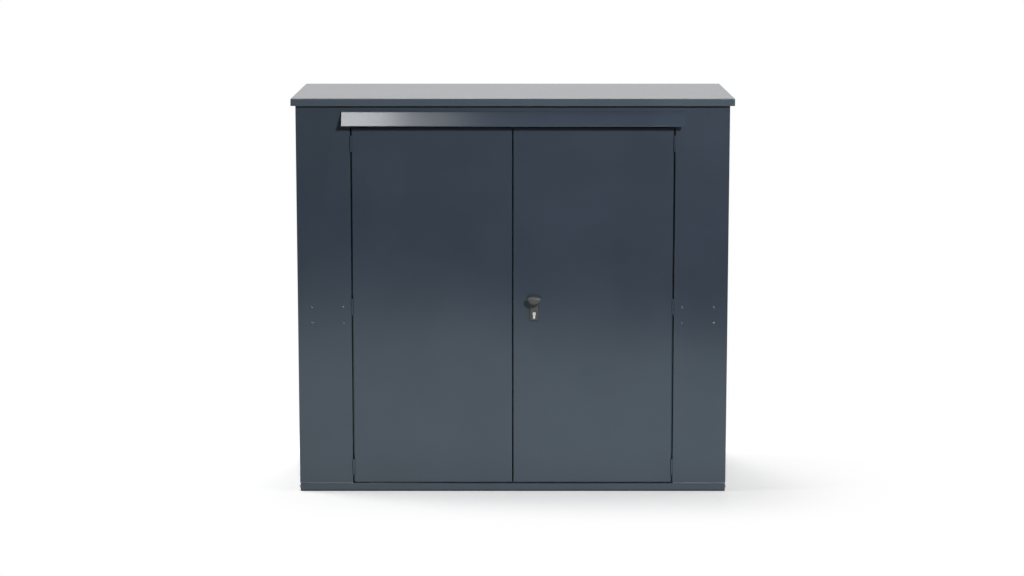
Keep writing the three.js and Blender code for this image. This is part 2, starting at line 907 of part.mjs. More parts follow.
const hingeHeights = {
  lower: doorBottom + endHingeInset,
  middle: (doorBottom + doorTop) / 2,
  upper: doorTop - endHingeInset,
};
for (const [place, height] of Object.entries(hingeHeights)) {
  addPiece(cabinet, `left_${place}_hinge_frame_leaf`, frameLeaf(), powderCoat, { height });
  addPiece(leftDoor, `left_${place}_hinge_door_leaf`, doorLeaf(), powderCoat, { height });
  const turned = { height, mirrored: true };
  addPiece(cabinet, `right_${place}_hinge_frame_leaf`, frameLeaf(), powderCoat, turned);
  addPiece(rightDoor, `right_${place}_hinge_door_leaf`, doorLeaf(), powderCoat, turned);
}

// Doors

// A door's folded skin, between its hinge edge at one x and its meeting edge at the other.
function doorSkin(x0, x1) {
  const edge = bendRadius + sheet;
  const back = frontY + doorDepth;
  const outline = rectangle(x0, x1, doorBottom, doorTop);
  const inner = block(
    [x0 + sheet, skinBack, doorBottom + sheet],
    [x1 - sheet, back - sheet, doorTop - sheet],
  );
  const mouth = block(
    [x0 + doorHem, back - sheet - fuse, doorBottom + doorHem],
    [x1 - doorHem, back + overrun, doorTop - doorHem],
  );
  return cut(push("y", outline, frontY, back, { edge }), inner, mouth);
}

// The slot that the deadbolt passes in a wall between two places.
function deadboltSlot(x0, x1) {
  return block(
    [x0 - overrun, boltFront - slide, boltRackZ - slide],
    [x1 + overrun, boltBack + slide, boltRackZ + boltHeight + slide],
  );
}

function doorStiffener(x) {
  const foot = skinBack + seat + sheet;
  const section = topHat(x, foot, skinBack + seat + stiffenerDepth, stiffenerWidth, stiffenerFoot, sheet);
  return push("z", section, doorBottom + stiffenerEndGap, doorTop - stiffenerEndGap);
}

function leftDoorSkin() {
  return cut(
    doorSkin(-doorOuter, -doorInner),
    uprightHole(shootBoltHole, doorBottom - overrun, doorTop + overrun),
    deadboltSlot(-doorInner - sheet, -doorInner),
  );
}

function rightDoorSkin() {
  return cut(
    doorSkin(doorInner, doorOuter),
    uprightHole(rodHoles[0], doorTop - sheet - overrun, doorTop + overrun),
    uprightHole(rodHoles[1], doorBottom - overrun, doorBottom + sheet + overrun),
    deadboltSlot(doorInner, doorInner + sheet),
    spindleOpening(),
    cylinderOpening(),
  );
}

const doorMiddle = (doorInner + doorOuter) / 2;
addPiece(leftDoor, "left_door_skin", leftDoorSkin(), powderCoat);
addPiece(rightDoor, "right_door_skin", rightDoorSkin(), powderCoat);
addPiece(leftDoor, "left_door_stiffener", doorStiffener(-doorMiddle), galvanised);
addPiece(rightDoor, "right_door_stiffener", doorStiffener(doorMiddle), galvanised);

// Lock

function onKnobAxis(y) {
  return [lockLineX, y, knobHeight];
}

function onKeyAxis(y) {
  return [lockLineX, y, cylinderHeight];
}

// The section of the key cylinder, grown by a clearance: a circle with a round-ended stem below it.
function cylinderSection(clearance) {
  const radius = cylinderRadius + clearance;
  const stem = cylinderStem / 2 + clearance;
  const stemCentre = cylinderHeight + cylinderRadius - cylinderHeightOverall + cylinderStem / 2;
  const meets = Math.asin(stem / radius);
  const shape = new THREE.Shape();
  shape.absarc(lockLineX, cylinderHeight, radius, meets - Math.PI / 2, 1.5 * Math.PI - meets);
  shape.absarc(lockLineX, stemCentre, stem, Math.PI, 2 * Math.PI);
  shape.closePath();
  return shape;
}

function cylinderOpening() {
  return push("y", cylinderSection(seat), plateFront - overrun, caseFront + sheet + overrun, {
    steps: cylinderSteps,
  });
}

function spindleOpening() {
  const [from, to] = [plateFront - overrun, caseFront + sheet + overrun];
  return bar(spindleHole, onKnobAxis(from), onKnobAxis(to), roundSides);
}

function lockPlate() {
  const outline = roundedRectangle(
    lockLineX - plateWidth / 2,
    lockLineX + plateWidth / 2,
    cylinderHeight - platePastCylinder,
    knobHeight + platePastKnob,
    plateCorner,
  );
  const plate = push("y", outline, plateFront, plateBack, { edge: plateEdge });
  return cut(plate, spindleOpening(), cylinderOpening());
}

function lockCase() {
  const outer = block([caseNearWall, caseFront, caseBottom], [caseFarWall, caseBack, caseTop]);
  const inner = block(
    [caseNearWall + sheet, caseFront + sheet, caseBottom + sheet],
    [caseFarWall - sheet, caseBack + overrun, caseTop - sheet],
  );
  return cut(
    outer,
    inner,
    uprightHole(rodHoles[0], caseTop - sheet - overrun, caseTop + overrun),
    uprightHole(rodHoles[1], caseBottom - overrun, caseBottom + sheet + overrun),
    deadboltSlot(caseNearWall, caseNearWall + sheet),
    spindleOpening(),
    cylinderOpening(),
  );
}

function lockCaseCover() {
  const from = caseBack + seat;
  const cover = block([caseNearWall, from, caseBottom], [caseFarWall, from + sheet, caseTop]);
  const [holeFrom, holeTo] = [from - overrun, from + sheet + overrun];
  return cut(cover, bar(journalRadius + seat, onKnobAxis(holeFrom), onKnobAxis(holeTo), roundSides));
}

function cylinderBody() {
  const body = push("y", cylinderSection(0), plateFront - cylinderProud, boltFront - seat, {
    steps: cylinderSteps,
  });
  const from = plateFront - overrun;
  return cut(body, bar(plugRadius + seat, onKeyAxis(from), onKeyAxis(boltBack), roundSides));
}

// A gear's outline about a centre, with straight-sided teeth that follow the involute at three radii.
function gearOutline(module, teeth, middle, turn) {
  const pitch = (module * teeth) / 2;
  const base = pitch * Math.cos(pressureAngle);
  const tip = pitch + addendumShare * module;
  const root = pitch - dedendumShare * module;
  const involute = (radius) => {
    const angle = Math.acos(Math.min(1, base / radius));
    return Math.tan(angle) - angle;
  };
  const halfAngle = (radius) =>
    Math.PI / 2 / teeth + involute(pitch) - involute(radius) - (backlashShare * module) / pitch;
  const flank = [root, Math.max(base, root), pitch, tip].map((radius) => [radius, halfAngle(radius)]);
  const points = [];
  for (let tooth = 0; tooth < teeth; tooth++) {
    const centre = turn + (2 * Math.PI * tooth) / teeth;
    for (const [radius, half] of flank) points.push([radius, centre - half]);
    for (const [radius, half] of [...flank].reverse()) points.push([radius, centre + half]);
  }
  return polygon(
    points.map(([radius, angle]) => [
      middle[0] + radius * Math.cos(angle),
      middle[1] + radius * Math.sin(angle),
    ]),
  );
}

// The teeth of a rack as (along, out) points from its root line, centred on a gap between two teeth.
function rackTeeth(module, from, to, gapCentre) {
  const pitch = Math.PI * module;
  const half = (out) =>
    pitch / 4 - backlashShare * module - (out - dedendumShare * module) * Math.tan(pressureAngle);
  const height = (dedendumShare + addendumShare) * module;
  const points = [];
  const first = Math.ceil((from - gapCentre) / pitch);
  const last = Math.floor((to - gapCentre) / pitch) - 1;
  for (let tooth = first; tooth <= last; tooth++) {
    const centre = gapCentre + (tooth + 0.5) * pitch;
    points.push([centre - half(0), 0], [centre - half(height), height]);
    points.push([centre + half(height), height], [centre + half(0), 0]);
  }
  return points;
}

// A square rod that runs from the knob gear to the top or bottom of the door, with a rack beside the gear.
function lockRod({ upper }) {
  const way = upper ? 1 : -1;
  const x = upper ? topRodX : bottomRodX;
  const face = x + (way * rodSize) / 2;
  const spare = rackSpareTeethShare * knobToothPitch;
  const start = knobHeight - way * (rodTravel + spare);
  const end = upper ? doorTop - rodEndInset : doorBottom + rodEndInset;
  const shaft = block(
    [x - rodSize / 2, rodFront, Math.min(start, end)],
    [x + rodSize / 2, rodBack, Math.max(start, end)],
  );
  const range = [start, knobHeight + way * spare].sort((a, b) => a - b);
  const teeth = rackTeeth(knobModule, ...range, knobHeight).map(([z, out]) => [face + way * out, z]);
  const strip = [
    [face - way * fuse, teeth[teeth.length - 1][1]],
    [face - way * fuse, teeth[0][1]],
  ];
  return joined(shaft, push("y", polygon([...teeth, ...strip]), rodFront, rodBack));
}

// The deadbolt: a flat bar with a rack under its tail.
function deadbolt() {
  const tip = doorInner + seat;
  const spare = rackSpareTeethShare * keyToothPitch;
  const tail = lockLineX + boltTravel + spare;
  const flat = block([tip, boltFront, boltRackZ], [tail, boltBack, boltRackZ + boltHeight]);
  const teeth = rackTeeth(keyModule, lockLineX - spare, tail, lockLineX).map(([x, out]) => [
    x,
    boltRackZ - out,
  ]);
  const strip = [
    [teeth[teeth.length - 1][0], boltRackZ + fuse],
    [teeth[0][0], boltRackZ + fuse],
  ];
  return joined(flat, push("y", polygon([...teeth, ...strip]), boltFront, boltBack));
}

// The plug that the key turns, with its keyway in front and the gear that drives the deadbolt behind.
function keyPlug() {
  const face = plateFront - cylinderProud;
  const gear = gearOutline(keyModule, keyTeeth, [lockLineX, cylinderHeight], Math.PI / 2);
  const keyway = block(
    [lockLineX - keywayWidth / 2, face - overrun, cylinderHeight - keywayHeight / 2],
    [lockLineX + keywayWidth / 2, face + keywayDepth, cylinderHeight + keywayHeight / 2],
  );
  const gearRoot = keyPitchRadius - dedendumShare * keyModule;
  const plug = joined(
    bar(plugRadius, onKeyAxis(face), onKeyAxis(boltFront - seat), roundSides),
    bar(gearRoot, onKeyAxis(boltFront - plugRadius), onKeyAxis(boltFront + fuse), smallSides),
    push("y", gear, boltFront, boltBack),
  );
  return cut(plug, keyway);
}

// The knob's rim at one depth: a circle of points, wide and flat above the shoulder and rounder below it.
function knobRing(y, share) {
  return Array.from({ length: knobSides }, (_, k) => {
    const angle = (2 * Math.PI * k) / knobSides;
    const upper = Math.sin(angle) >= 0;
    const tall = upper ? knobAbove - knobShoulder : knobBelow + knobShoulder;
    const x = lockLineX + (share * knobWidth * Math.cos(angle)) / 2;
    return [x, y, knobHeight + share * (knobShoulder + tall * Math.sin(angle))];
  });
}

// The knob on a round neck, with a square socket for the spindle.
function knob() {
  const front = frontY - knobReach;
  const rings = knobRimShares.flatMap(([back, share]) => knobRing(front + back * knobDepth, share));
  const head = wasm.Manifold.hull(rings);
  const neckEnd = plateFront - seat;
  const neck = bar(knobNeckRadius, onKnobAxis(front + knobDepth / 2), onKnobAxis(neckEnd), roundSides);
  const socket = spindleSize / 2 + seat;
  return cut(
    joined(head, neck),
    block(
      [lockLineX - socket, neckEnd - spindleSocket, knobHeight - socket],
      [lockLineX + socket, plateFront + overrun, knobHeight + socket],
    ),
  );
}

// The square spindle, with the gear that drives both rods and a journal that turns in the case cover.
function knobSpindle() {
  const half = spindleSize / 2;
  const square = block(
    [lockLineX - half, plateFront - spindleSocket, knobHeight - half],
    [lockLineX + half, rodBack, knobHeight + half],
  );
  const gear = push("y", gearOutline(knobModule, knobTeeth, [lockLineX, knobHeight], 0), rodFront, rodBack);
  const [from, to] = [rodBack - fuse, caseBack + seat + sheet];
  const journal = bar(journalRadius, onKnobAxis(from), onKnobAxis(to), roundSides);
  return joined(square, gear, journal);
}

// A block on the door skin that a rod slides through.
function rodGuide({ x, upper }) {
  const z = upper ? doorTop - guideFromEnd : doorBottom + guideFromEnd;
  const from = z - guideLength / 2;
  const to = z + guideLength / 2;
  const outer = block(
    [x - guideWidth / 2, skinBack + seat, from],
    [x + guideWidth / 2, rodBack + guideWall, to],
  );
  return cut(outer, uprightHole({ x, y: rodY, radius: rodHole }, from - overrun, to + overrun));
}

addPiece(rightDoor, "lock_plate", lockPlate(), blackHandle);
addPiece(rightDoor, "lock_case", lockCase(), zincPlated);
addPiece(rightDoor, "lock_case_cover", lockCaseCover(), zincPlated);
addPiece(rightDoor, "key_cylinder", cylinderBody(), nickel);
addPiece(rightDoor, "key_plug", keyPlug(), nickel);
addPiece(rightDoor, "deadbolt", deadbolt(), zincPlated);
addPiece(rightDoor, "knob", knob(), blackHandle);
addPiece(rightDoor, "knob_spindle", knobSpindle(), zincPlated);
for (const hole of rodHoles) {
  const place = hole.upper ? "top" : "bottom";
  addPiece(rightDoor, `${place}_rod`, lockRod(hole), zincPlated);
  addPiece(rightDoor, `${place}_rod_guide`, rodGuide(hole), zincPlated);
}

// Shoot bolts on the left door, one at its top and one at its bottom

function shootBolt(upper) {
  const way = upper ? 1 : -1;
  const end = upper ? doorTop - rodEndInset : doorBottom + rodEndInset;
  const handleZ = shootHandleHeight(upper);
  const start = end - way * shootBoltLength;
  return joined(
    bar(shootBoltRadius, [-shootBoltX, rodY, end], [-shootBoltX, rodY, start], roundSides),
    bar(
      shootBoltHandleRadius,
      [-shootBoltX, rodY, handleZ],
      [-shootBoltX, rodY + shootBoltRadius + shootBoltHandleLength, handleZ],
    ),
  );
}

// The handle rests near the ear that is further from the door's end.
function shootHandleHeight(upper) {
  const way = upper ? 1 : -1;
  const end = upper ? doorTop : doorBottom;
  const farEar = shootBracketFromEnd + shootBracketLength - shootBracketEar;
  return end - way * (farEar - shootBoltHandleRadius - passing);
}

function shootBoltBracket(upper) {
  const way = upper ? 1 : -1;
  const end = upper ? doorTop : doorBottom;
  const heights = [shootBracketFromEnd, shootBracketFromEnd + shootBracketLength].map(
    (inset) => end - way * inset,
  );
  const from = Math.min(...heights);
  const to = Math.max(...heights);
  const half = shootBracketWidth / 2;
  const back = skinBack + seat;
  const reach = rodY + shootBoltRadius + slide + shootBracketEar;
  const plate = block([-shootBoltX - half, back, from], [-shootBoltX + half, back + sheet, to]);
  const ears = [from, to - shootBracketEar].map((z) =>
    block([-shootBoltX - half, back, z], [-shootBoltX + half, reach, z + shootBracketEar]),
  );
  return cut(joined(plate, ...ears), uprightHole(shootBoltHole, from - overrun, to + overrun));
}

for (const upper of [true, false]) {
  const place = upper ? "top" : "bottom";
  addPiece(leftDoor, `${place}_shoot_bolt`, shootBolt(upper), zincPlated);
  addPiece(leftDoor, `${place}_shoot_bolt_bracket`, shootBoltBracket(upper), zincPlated);
}

export default locker;
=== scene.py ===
import json
import math

import bmesh
import bpy
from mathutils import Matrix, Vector


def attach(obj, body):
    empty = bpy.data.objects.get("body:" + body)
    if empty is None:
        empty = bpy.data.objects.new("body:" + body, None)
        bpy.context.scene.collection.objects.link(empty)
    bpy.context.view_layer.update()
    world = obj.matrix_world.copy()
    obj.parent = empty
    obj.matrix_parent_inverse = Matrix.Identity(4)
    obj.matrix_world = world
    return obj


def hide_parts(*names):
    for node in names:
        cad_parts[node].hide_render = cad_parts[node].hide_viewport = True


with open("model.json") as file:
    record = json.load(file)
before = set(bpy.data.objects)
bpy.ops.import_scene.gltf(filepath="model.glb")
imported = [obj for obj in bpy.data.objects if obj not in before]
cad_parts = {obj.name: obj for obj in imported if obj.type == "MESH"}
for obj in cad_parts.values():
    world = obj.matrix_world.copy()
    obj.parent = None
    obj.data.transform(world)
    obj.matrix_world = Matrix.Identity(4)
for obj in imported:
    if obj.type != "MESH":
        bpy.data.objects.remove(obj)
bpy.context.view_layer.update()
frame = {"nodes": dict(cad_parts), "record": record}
scene = bpy.context.scene
print("frame loaded:", len(frame["nodes"]), "nodes")


# Photo's camera

# The photo is a level camera's, its lens shifted far down. Here the camera stands in the same place and
# tilts down instead, so the upright edges draw together by a few pixels, and the locker stays in the frame
# from every side.
photoView = {
    "width": 1024,            # pixels across the photo
    "pixelsPerRadian": 2581,  # at the middle of the view
    "middleX": 512.75,        # the pixel column that the camera faces
    "tilt": 8.84,             # degrees below level
    "frontFace": -0.440,
    "distance": 12.444,       # metres before the front face
    "height": 2.9506,
    "sensor": 36,
    "farthest": 200,
}


def addCamera(view):
    camera = bpy.data.objects.new("photoCamera", bpy.data.cameras.new("photoCamera"))
    scene.collection.objects.link(camera)
    camera.location = (0, view["frontFace"] - view["distance"], view["height"])
    camera.rotation_euler = (math.radians(90 - view["tilt"]), 0, 0)
    camera.data.sensor_width = view["sensor"]
    camera.data.lens = view["pixelsPerRadian"] / view["width"] * view["sensor"]
    camera.data.shift_x = (view["width"] / 2 - view["middleX"]) / view["width"]
    camera.data.clip_end = view["farthest"]
    scene.camera = camera


addCamera(photoView)
scene.view_settings.view_transform = "Standard"
print("camera set")


# Materials

def toLinear(hexColour):
    parts = [int(hexColour[i:i + 2], 16) / 255 for i in (1, 3, 5)]
    return tuple(p / 12.92 if p <= 0.04045 else ((p + 0.055) / 1.055) ** 2.4 for p in parts) + (1.0,)


# Adds a node, sets its properties and sockets, and links what feeds it.
def addNode(tree, kind, settings={}, links={}):
    node = tree.nodes.new("ShaderNode" + kind)
    for name, value in settings.items():
        if isinstance(name, str) and hasattr(node, name):
            setattr(node, name, value)
        else:
            node.inputs[name].default_value = value
    for name, source in links.items():
        tree.links.new(source, node.inputs[name])
    return node


def newFinish(name):
    finish = bpy.data.materials.new(name)
    finish.use_nodes = True
    finish.node_tree.nodes.clear()
    return finish, finish.node_tree


def perMetre(millimetres):  # how often a pattern of that size repeats in a metre
    return 1000 / millimetres


noiseSpan = {"From Min": 0.3, "From Max": 0.7}  # nearly all of a noise texture's values lie between these


# Polyester powder coat on steel sheet, sprayed and baked: an anthracite, bluish in the studio's light. It
# has a clear satin gloss, a fine orange peel, and panels that are never quite flat, so reflections wander.
coatLook = {
    "dark": "#323b46",
    "light": "#363f4b",
    # the lighter colour of the folds: partly wear, partly a painted highlight
    "wornAndHighlight": "#5d656f",
    "ior": 1.5,
    "gloss": (0.15, 0.21),
    "patch": 420,               # mm, how large the faint lighter and darker areas are
    "patchSpan": (0.35, 0.65),  # noise values between which dark turns to light
    "speck": 6,                 # mm, spots that are a little glossier, or more worn and lighter at the folds with the painted highlight
    "peel": 3.5,                # mm, real orange peel is 1 to 2 mm, drawn coarser so that it shows
    "peelDepth": 0.016,
    "wave": 640,                # mm, the waviness of the sheet
    "waveDepth": 2.2,
    "edgeRadius": 2.2,          # mm, the sheet's folds
    "wearAndHighlightBend": (0.995, 0.80),  # cosine of the bend where the wear and the painted highlight start, and where they are at their most
    "wearAndHighlightMost": 0.30,
    "wearAndHighlightSpots": (0.40, 0.62),  # noise values between which the specks begin to wear and take the painted highlight
}


def powderCoat(name, look):
    finish, tree = newFinish(name)
    place = addNode(tree, "TexCoord").outputs["Object"]
    patch = addNode(tree, "TexNoise", {"Scale": perMetre(look["patch"]), "Detail": 3.0}, {"Vector": place})
    speck = addNode(tree, "TexNoise", {"Scale": perMetre(look["speck"]), "Detail": 2.0}, {"Vector": place})
    patchShare = addNode(tree, "MapRange", {"From Min": look["patchSpan"][0],
                                            "From Max": look["patchSpan"][1]},
                         {"Value": patch.outputs["Fac"]})
    tint = addNode(tree, "Mix", {"data_type": "RGBA", 6: toLinear(look["dark"]),
                                 7: toLinear(look["light"])}, {0: patchShare.outputs["Result"]})

    # coat rubbed thin along the folds and corners, partly real wear and partly a painted highlight: the
    # folds are coloured lighter, as if they caught the light
    rounded = addNode(tree, "Bevel", {"samples": 4, "Radius": look["edgeRadius"] / 1000})
    flat = addNode(tree, "NewGeometry")
    bend = addNode(tree, "VectorMath", {"operation": "DOT_PRODUCT"},
                   {0: rounded.outputs["Normal"], 1: flat.outputs["Normal"]})
    edge = addNode(tree, "MapRange", {"From Min": look["wearAndHighlightBend"][0], "From Max": look["wearAndHighlightBend"][1],
                                      "To Max": look["wearAndHighlightMost"]}, {"Value": bend.outputs["Value"]})
    patchy = addNode(tree, "MapRange", {"From Min": look["wearAndHighlightSpots"][0],
                                        "From Max": look["wearAndHighlightSpots"][1]}, {"Value": speck.outputs["Fac"]})
    rubbedAndHighlighted = addNode(tree, "Math", {"operation": "MULTIPLY"},
                     {0: edge.outputs["Result"], 1: patchy.outputs["Result"]})
    colour = addNode(tree, "Mix", {"data_type": "RGBA", 7: toLinear(look["wornAndHighlight"])},
                     {0: rubbedAndHighlighted.outputs["Value"], 6: tint.outputs[2]})
    gloss = addNode(tree, "MapRange", {**noiseSpan, "To Min": look["gloss"][0],
                                       "To Max": look["gloss"][1]}, {"Value": speck.outputs["Fac"]})

    wave = addNode(tree, "TexNoise", {"Scale": perMetre(look["wave"]), "Detail": 0.0}, {"Vector": place})
    peel = addNode(tree, "TexNoise", {"Scale": perMetre(look["peel"]), "Detail": 1.0}, {"Vector": place})
    waved = addNode(tree, "Bump", {"Strength": 1.0, "Distance": look["waveDepth"] / 1000},
                    {"Height": wave.outputs["Fac"], "Normal": rounded.outputs["Normal"]})
    peeled = addNode(tree, "Bump", {"Strength": 1.0, "Distance": look["peelDepth"] / 1000},
                     {"Height": peel.outputs["Fac"], "Normal": waved.outputs["Normal"]})
    shader = addNode(tree, "BsdfPrincipled", {"IOR": look["ior"]},
                     {"Base Color": colour.outputs[2], "Roughness": gloss.outputs["Result"],
                      "Normal": peeled.outputs["Normal"]})
    addNode(tree, "OutputMaterial", {}, {"Surface": shader.outputs["BSDF"]})
    return finish


# Hot-dip galvanised sheet, left bare inside: grey and dull, with the frost-like spangle of its crystals.
zincSheetLook = {
    "dark": "#868b8e",
    "light": "#a9aeb0",
    "gloss": (0.38, 0.55),
    "spangle": 14,         # mm, a crystal
    "grain": 1.4,          # mm
    "grainDepth": 0.02,
    "grainStrength": 0.6,
}


def galvanisedSheet(name, look):
    finish, tree = newFinish(name)
    place = addNode(tree, "TexCoord").outputs["Object"]
    crystal = addNode(tree, "TexVoronoi", {"Scale": perMetre(look["spangle"])}, {"Vector": place})
    grey = addNode(tree, "RGBToBW", {}, {"Color": crystal.outputs["Color"]})
    colour = addNode(tree, "Mix", {"data_type": "RGBA", 6: toLinear(look["dark"]),
                                   7: toLinear(look["light"])}, {0: grey.outputs["Val"]})
    gloss = addNode(tree, "MapRange", {"To Min": look["gloss"][0], "To Max": look["gloss"][1]},
                    {"Value": grey.outputs["Val"]})
    grain = addNode(tree, "TexNoise", {"Scale": perMetre(look["grain"]), "Detail": 2.0}, {"Vector": place})
    rough = addNode(tree, "Bump", {"Strength": look["grainStrength"], "Distance": look["grainDepth"] / 1000},
                    {"Height": grain.outputs["Fac"]})
    shader = addNode(tree, "BsdfPrincipled", {"Metallic": 1.0},
                     {"Base Color": colour.outputs[2], "Roughness": gloss.outputs["Result"],
                      "Normal": rough.outputs["Normal"]})
    addNode(tree, "OutputMaterial", {}, {"Surface": shader.outputs["BSDF"]})
    return finish


# Cold-drawn steel with clear zinc plating: bright, faintly blue and yellow in patches, with draw lines.
zincPlateLook = {
    "blue": "#b3b9bf",
    "yellow": "#bdb8a6",
    "gloss": (0.24, 0.38),
    "patch": 30,               # mm, a patch of one tint
    "patchSpan": (0.4, 0.65),  # noise values between which blue turns to yellow
    "lines": 0.9,              # mm between draw lines, real ones are far finer and wouldn't show
    "along": (1, 1, 0.02),     # the lines run up the bars
    "lineDepth": 0.02,
    "lineStrength": 0.5,
}


def clearZincPlating(name, look):
    finish, tree = newFinish(name)
    place = addNode(tree, "TexCoord").outputs["Object"]
    patch = addNode(tree, "TexNoise", {"Scale": perMetre(look["patch"]), "Detail": 3.0}, {"Vector": place})
    share = addNode(tree, "MapRange", {"From Min": look["patchSpan"][0],
                                       "From Max": look["patchSpan"][1]}, {"Value": patch.outputs["Fac"]})
    colour = addNode(tree, "Mix", {"data_type": "RGBA", 6: toLinear(look["blue"]),
                                   7: toLinear(look["yellow"])}, {0: share.outputs["Result"]})
    drawn = addNode(tree, "Mapping", {"Scale": look["along"]}, {"Vector": place})
    lines = addNode(tree, "TexNoise", {"Scale": perMetre(look["lines"]), "Detail": 2.0},
                    {"Vector": drawn.outputs["Vector"]})
    gloss = addNode(tree, "MapRange", {**noiseSpan, "To Min": look["gloss"][0],
                                       "To Max": look["gloss"][1]}, {"Value": lines.outputs["Fac"]})
    scratched = addNode(tree, "Bump", {"Strength": look["lineStrength"],
                                       "Distance": look["lineDepth"] / 1000},
                        {"Height": lines.outputs["Fac"]})
    shader = addNode(tree, "BsdfPrincipled", {"Metallic": 1.0},
                     {"Base Color": colour.outputs[2], "Roughness": gloss.outputs["Result"],
                      "Normal": scratched.outputs["Normal"]})
    addNode(tree, "OutputMaterial", {}, {"Surface": shader.outputs["BSDF"]})
    return finish


# Brass with matt nickel plating, brushed on its face: a warm silver that stays bright in soft light.
nickelLook = {
    "dark": "#dcd0ca",
    "light": "#efe6e1",
    "gloss": (0.26, 0.38),
    "brush": 0.35,          # mm between brush marks, real ones are under 0.1 and wouldn't show
    "along": (0.05, 1, 1),  # the marks run across the face
    "brushDepth": 0.01,
    "brushStrength": 0.4,
}


def satinNickel(name, look):
    finish, tree = newFinish(name)
    place = addNode(tree, "TexCoord").outputs["Object"]
    across = addNode(tree, "Mapping", {"Scale": look["along"]}, {"Vector": place})
    brush = addNode(tree, "TexNoise", {"Scale": perMetre(look["brush"]), "Detail": 2.0},
                    {"Vector": across.outputs["Vector"]})
    colour = addNode(tree, "Mix", {"data_type": "RGBA", 6: toLinear(look["dark"]),
                                   7: toLinear(look["light"])}, {0: brush.outputs["Fac"]})
    gloss = addNode(tree, "MapRange", {**noiseSpan, "To Min": look["gloss"][0],
                                       "To Max": look["gloss"][1]}, {"Value": brush.outputs["Fac"]})
    brushed = addNode(tree, "Bump", {"Strength": look["brushStrength"],
                                     "Distance": look["brushDepth"] / 1000},
                      {"Height": brush.outputs["Fac"]})
    shader = addNode(tree, "BsdfPrincipled", {"Metallic": 1.0},
                     {"Base Color": colour.outputs[2], "Roughness": gloss.outputs["Result"],
                      "Normal": brushed.outputs["Normal"]})
    addNode(tree, "OutputMaterial", {}, {"Surface": shader.outputs["BSDF"]})
    return finish


# Glass-filled nylon, moulded in a spark-eroded tool: a warm dark grey, matt, a little polished in patches.
nylonLook = {
    "dark": "#373735",
    "light": "#403f3d",
    "ior": 1.5,
    "gloss": (0.46, 0.60),
    "patch": 25,           # mm
    "pits": 0.7,           # mm, the eroded texture is 0.1 to 0.2 mm, drawn coarser so that it shows
    "pitDepth": 0.03,
    "pitStrength": 0.5,
}


def mouldedNylon(name, look):
    finish, tree = newFinish(name)
    place = addNode(tree, "TexCoord").outputs["Object"]
    patch = addNode(tree, "TexNoise", {"Scale": perMetre(look["patch"]), "Detail": 2.0}, {"Vector": place})
    pits = addNode(tree, "TexNoise", {"Scale": perMetre(look["pits"]), "Detail": 2.0}, {"Vector": place})
    colour = addNode(tree, "Mix", {"data_type": "RGBA", 6: toLinear(look["dark"]),
                                   7: toLinear(look["light"])}, {0: patch.outputs["Fac"]})
    gloss = addNode(tree, "MapRange", {**noiseSpan, "To Min": look["gloss"][0],
                                       "To Max": look["gloss"][1]}, {"Value": patch.outputs["Fac"]})
    pitted = addNode(tree, "Bump", {"Strength": look["pitStrength"], "Distance": look["pitDepth"] / 1000},
                     {"Height": pits.outputs["Fac"]})
    shader = addNode(tree, "BsdfPrincipled", {"IOR": look["ior"]},
                     {"Base Color": colour.outputs[2], "Roughness": gloss.outputs["Result"],
                      "Normal": pitted.outputs["Normal"]})
    addNode(tree, "OutputMaterial", {}, {"Surface": shader.outputs["BSDF"]})
    return finish


# Black rubber, matt and a little dusty.
rubberLook = {**nylonLook, "dark": "#17181a", "light": "#202122", "gloss": (0.6, 0.75), "pits": 1.2}

# Grey silicone sealant, smoothed wet with a finger, coloured far lighter than the coat: a painted highlight,
# so that the thin bead shows as a light line.
sealantHighlightLook = {**nylonLook, "dark": "#6b7178", "light": "#757b82", "ior": 1.41, "gloss": (0.30, 0.45),
               "pits": 4}

# The roof tray gets a lighter copy of the coat: painted light, so that its front lip shows as bright as the
# light it catches.
litRoofLook = {**coatLook, "dark": "#424c55", "light": "#465059"}

# The bolts and their plates get a lighter copy of the coat: painted light, so that the small domed heads
# show as light dots. They are small, and so are its waves.
litBoltCoatLook = {**coatLook, "dark": "#454f5b", "light": "#4d5763", "wave": 90}

finishes = {
    "roof": powderCoat("lighterLitPowderCoat", litRoofLook),
    "rubber": mouldedNylon("blackRubber", rubberLook),
    "sealant": mouldedNylon("lightGreySealantHighlight", sealantHighlightLook),
    "powder_coat": powderCoat("anthracitePowderCoat", coatLook),
    "dark_fasteners": powderCoat("lighterLitBoltCoat", litBoltCoatLook),
    "galvanised_sheet": galvanisedSheet("galvanisedSheet", zincSheetLook),
    "zinc_plated_steel": clearZincPlating("clearZincPlating", zincPlateLook),
    "nickel_cylinder": satinNickel("satinNickel", nickelLook),
    "black_handle": mouldedNylon("mouldedNylon", nylonLook),
}
for part in frame["record"]["subparts"]:
    node = frame["nodes"][part["node"]]
    node.data.materials.clear()
    # the roof tray takes the lighter copy of the coat, which is painted light
    node.data.materials.append(finishes["roof" if part["node"] == "roof_tray" else part["material_slot"]])
print("finishes on the frame:", len(finishes))


# Shapes, all given in millimetres

def closedMesh(name, rows, faces):
    bm = bmesh.new()
    points = [bm.verts.new([value / 1000 for value in row]) for row in rows]
    for face in faces:
        bm.faces.new([points[i] for i in face])
    bmesh.ops.recalc_face_normals(bm, faces=bm.faces)
    mesh = bpy.data.meshes.new(name)
    bm.to_mesh(mesh)
    bm.free()
    shape = bpy.data.objects.new(name, mesh)
    scene.collection.objects.link(shape)
    return shape


# Closed rings of equally many points, one after another, with a face over the first and the last.
def loft(name, rings):
    count = len(rings[0])
    rows = [point for ring in rings for point in ring]
    faces = [tuple(range(count)), tuple(range((len(rings) - 1) * count, len(rings) * count))]
    for k in range(len(rings) - 1):
        for i in range(count):
            j = (i + 1) % count
            faces.append((k * count + i, k * count + j, (k + 1) * count + j, (k + 1) * count + i))
    return closedMesh(name, rows, faces)


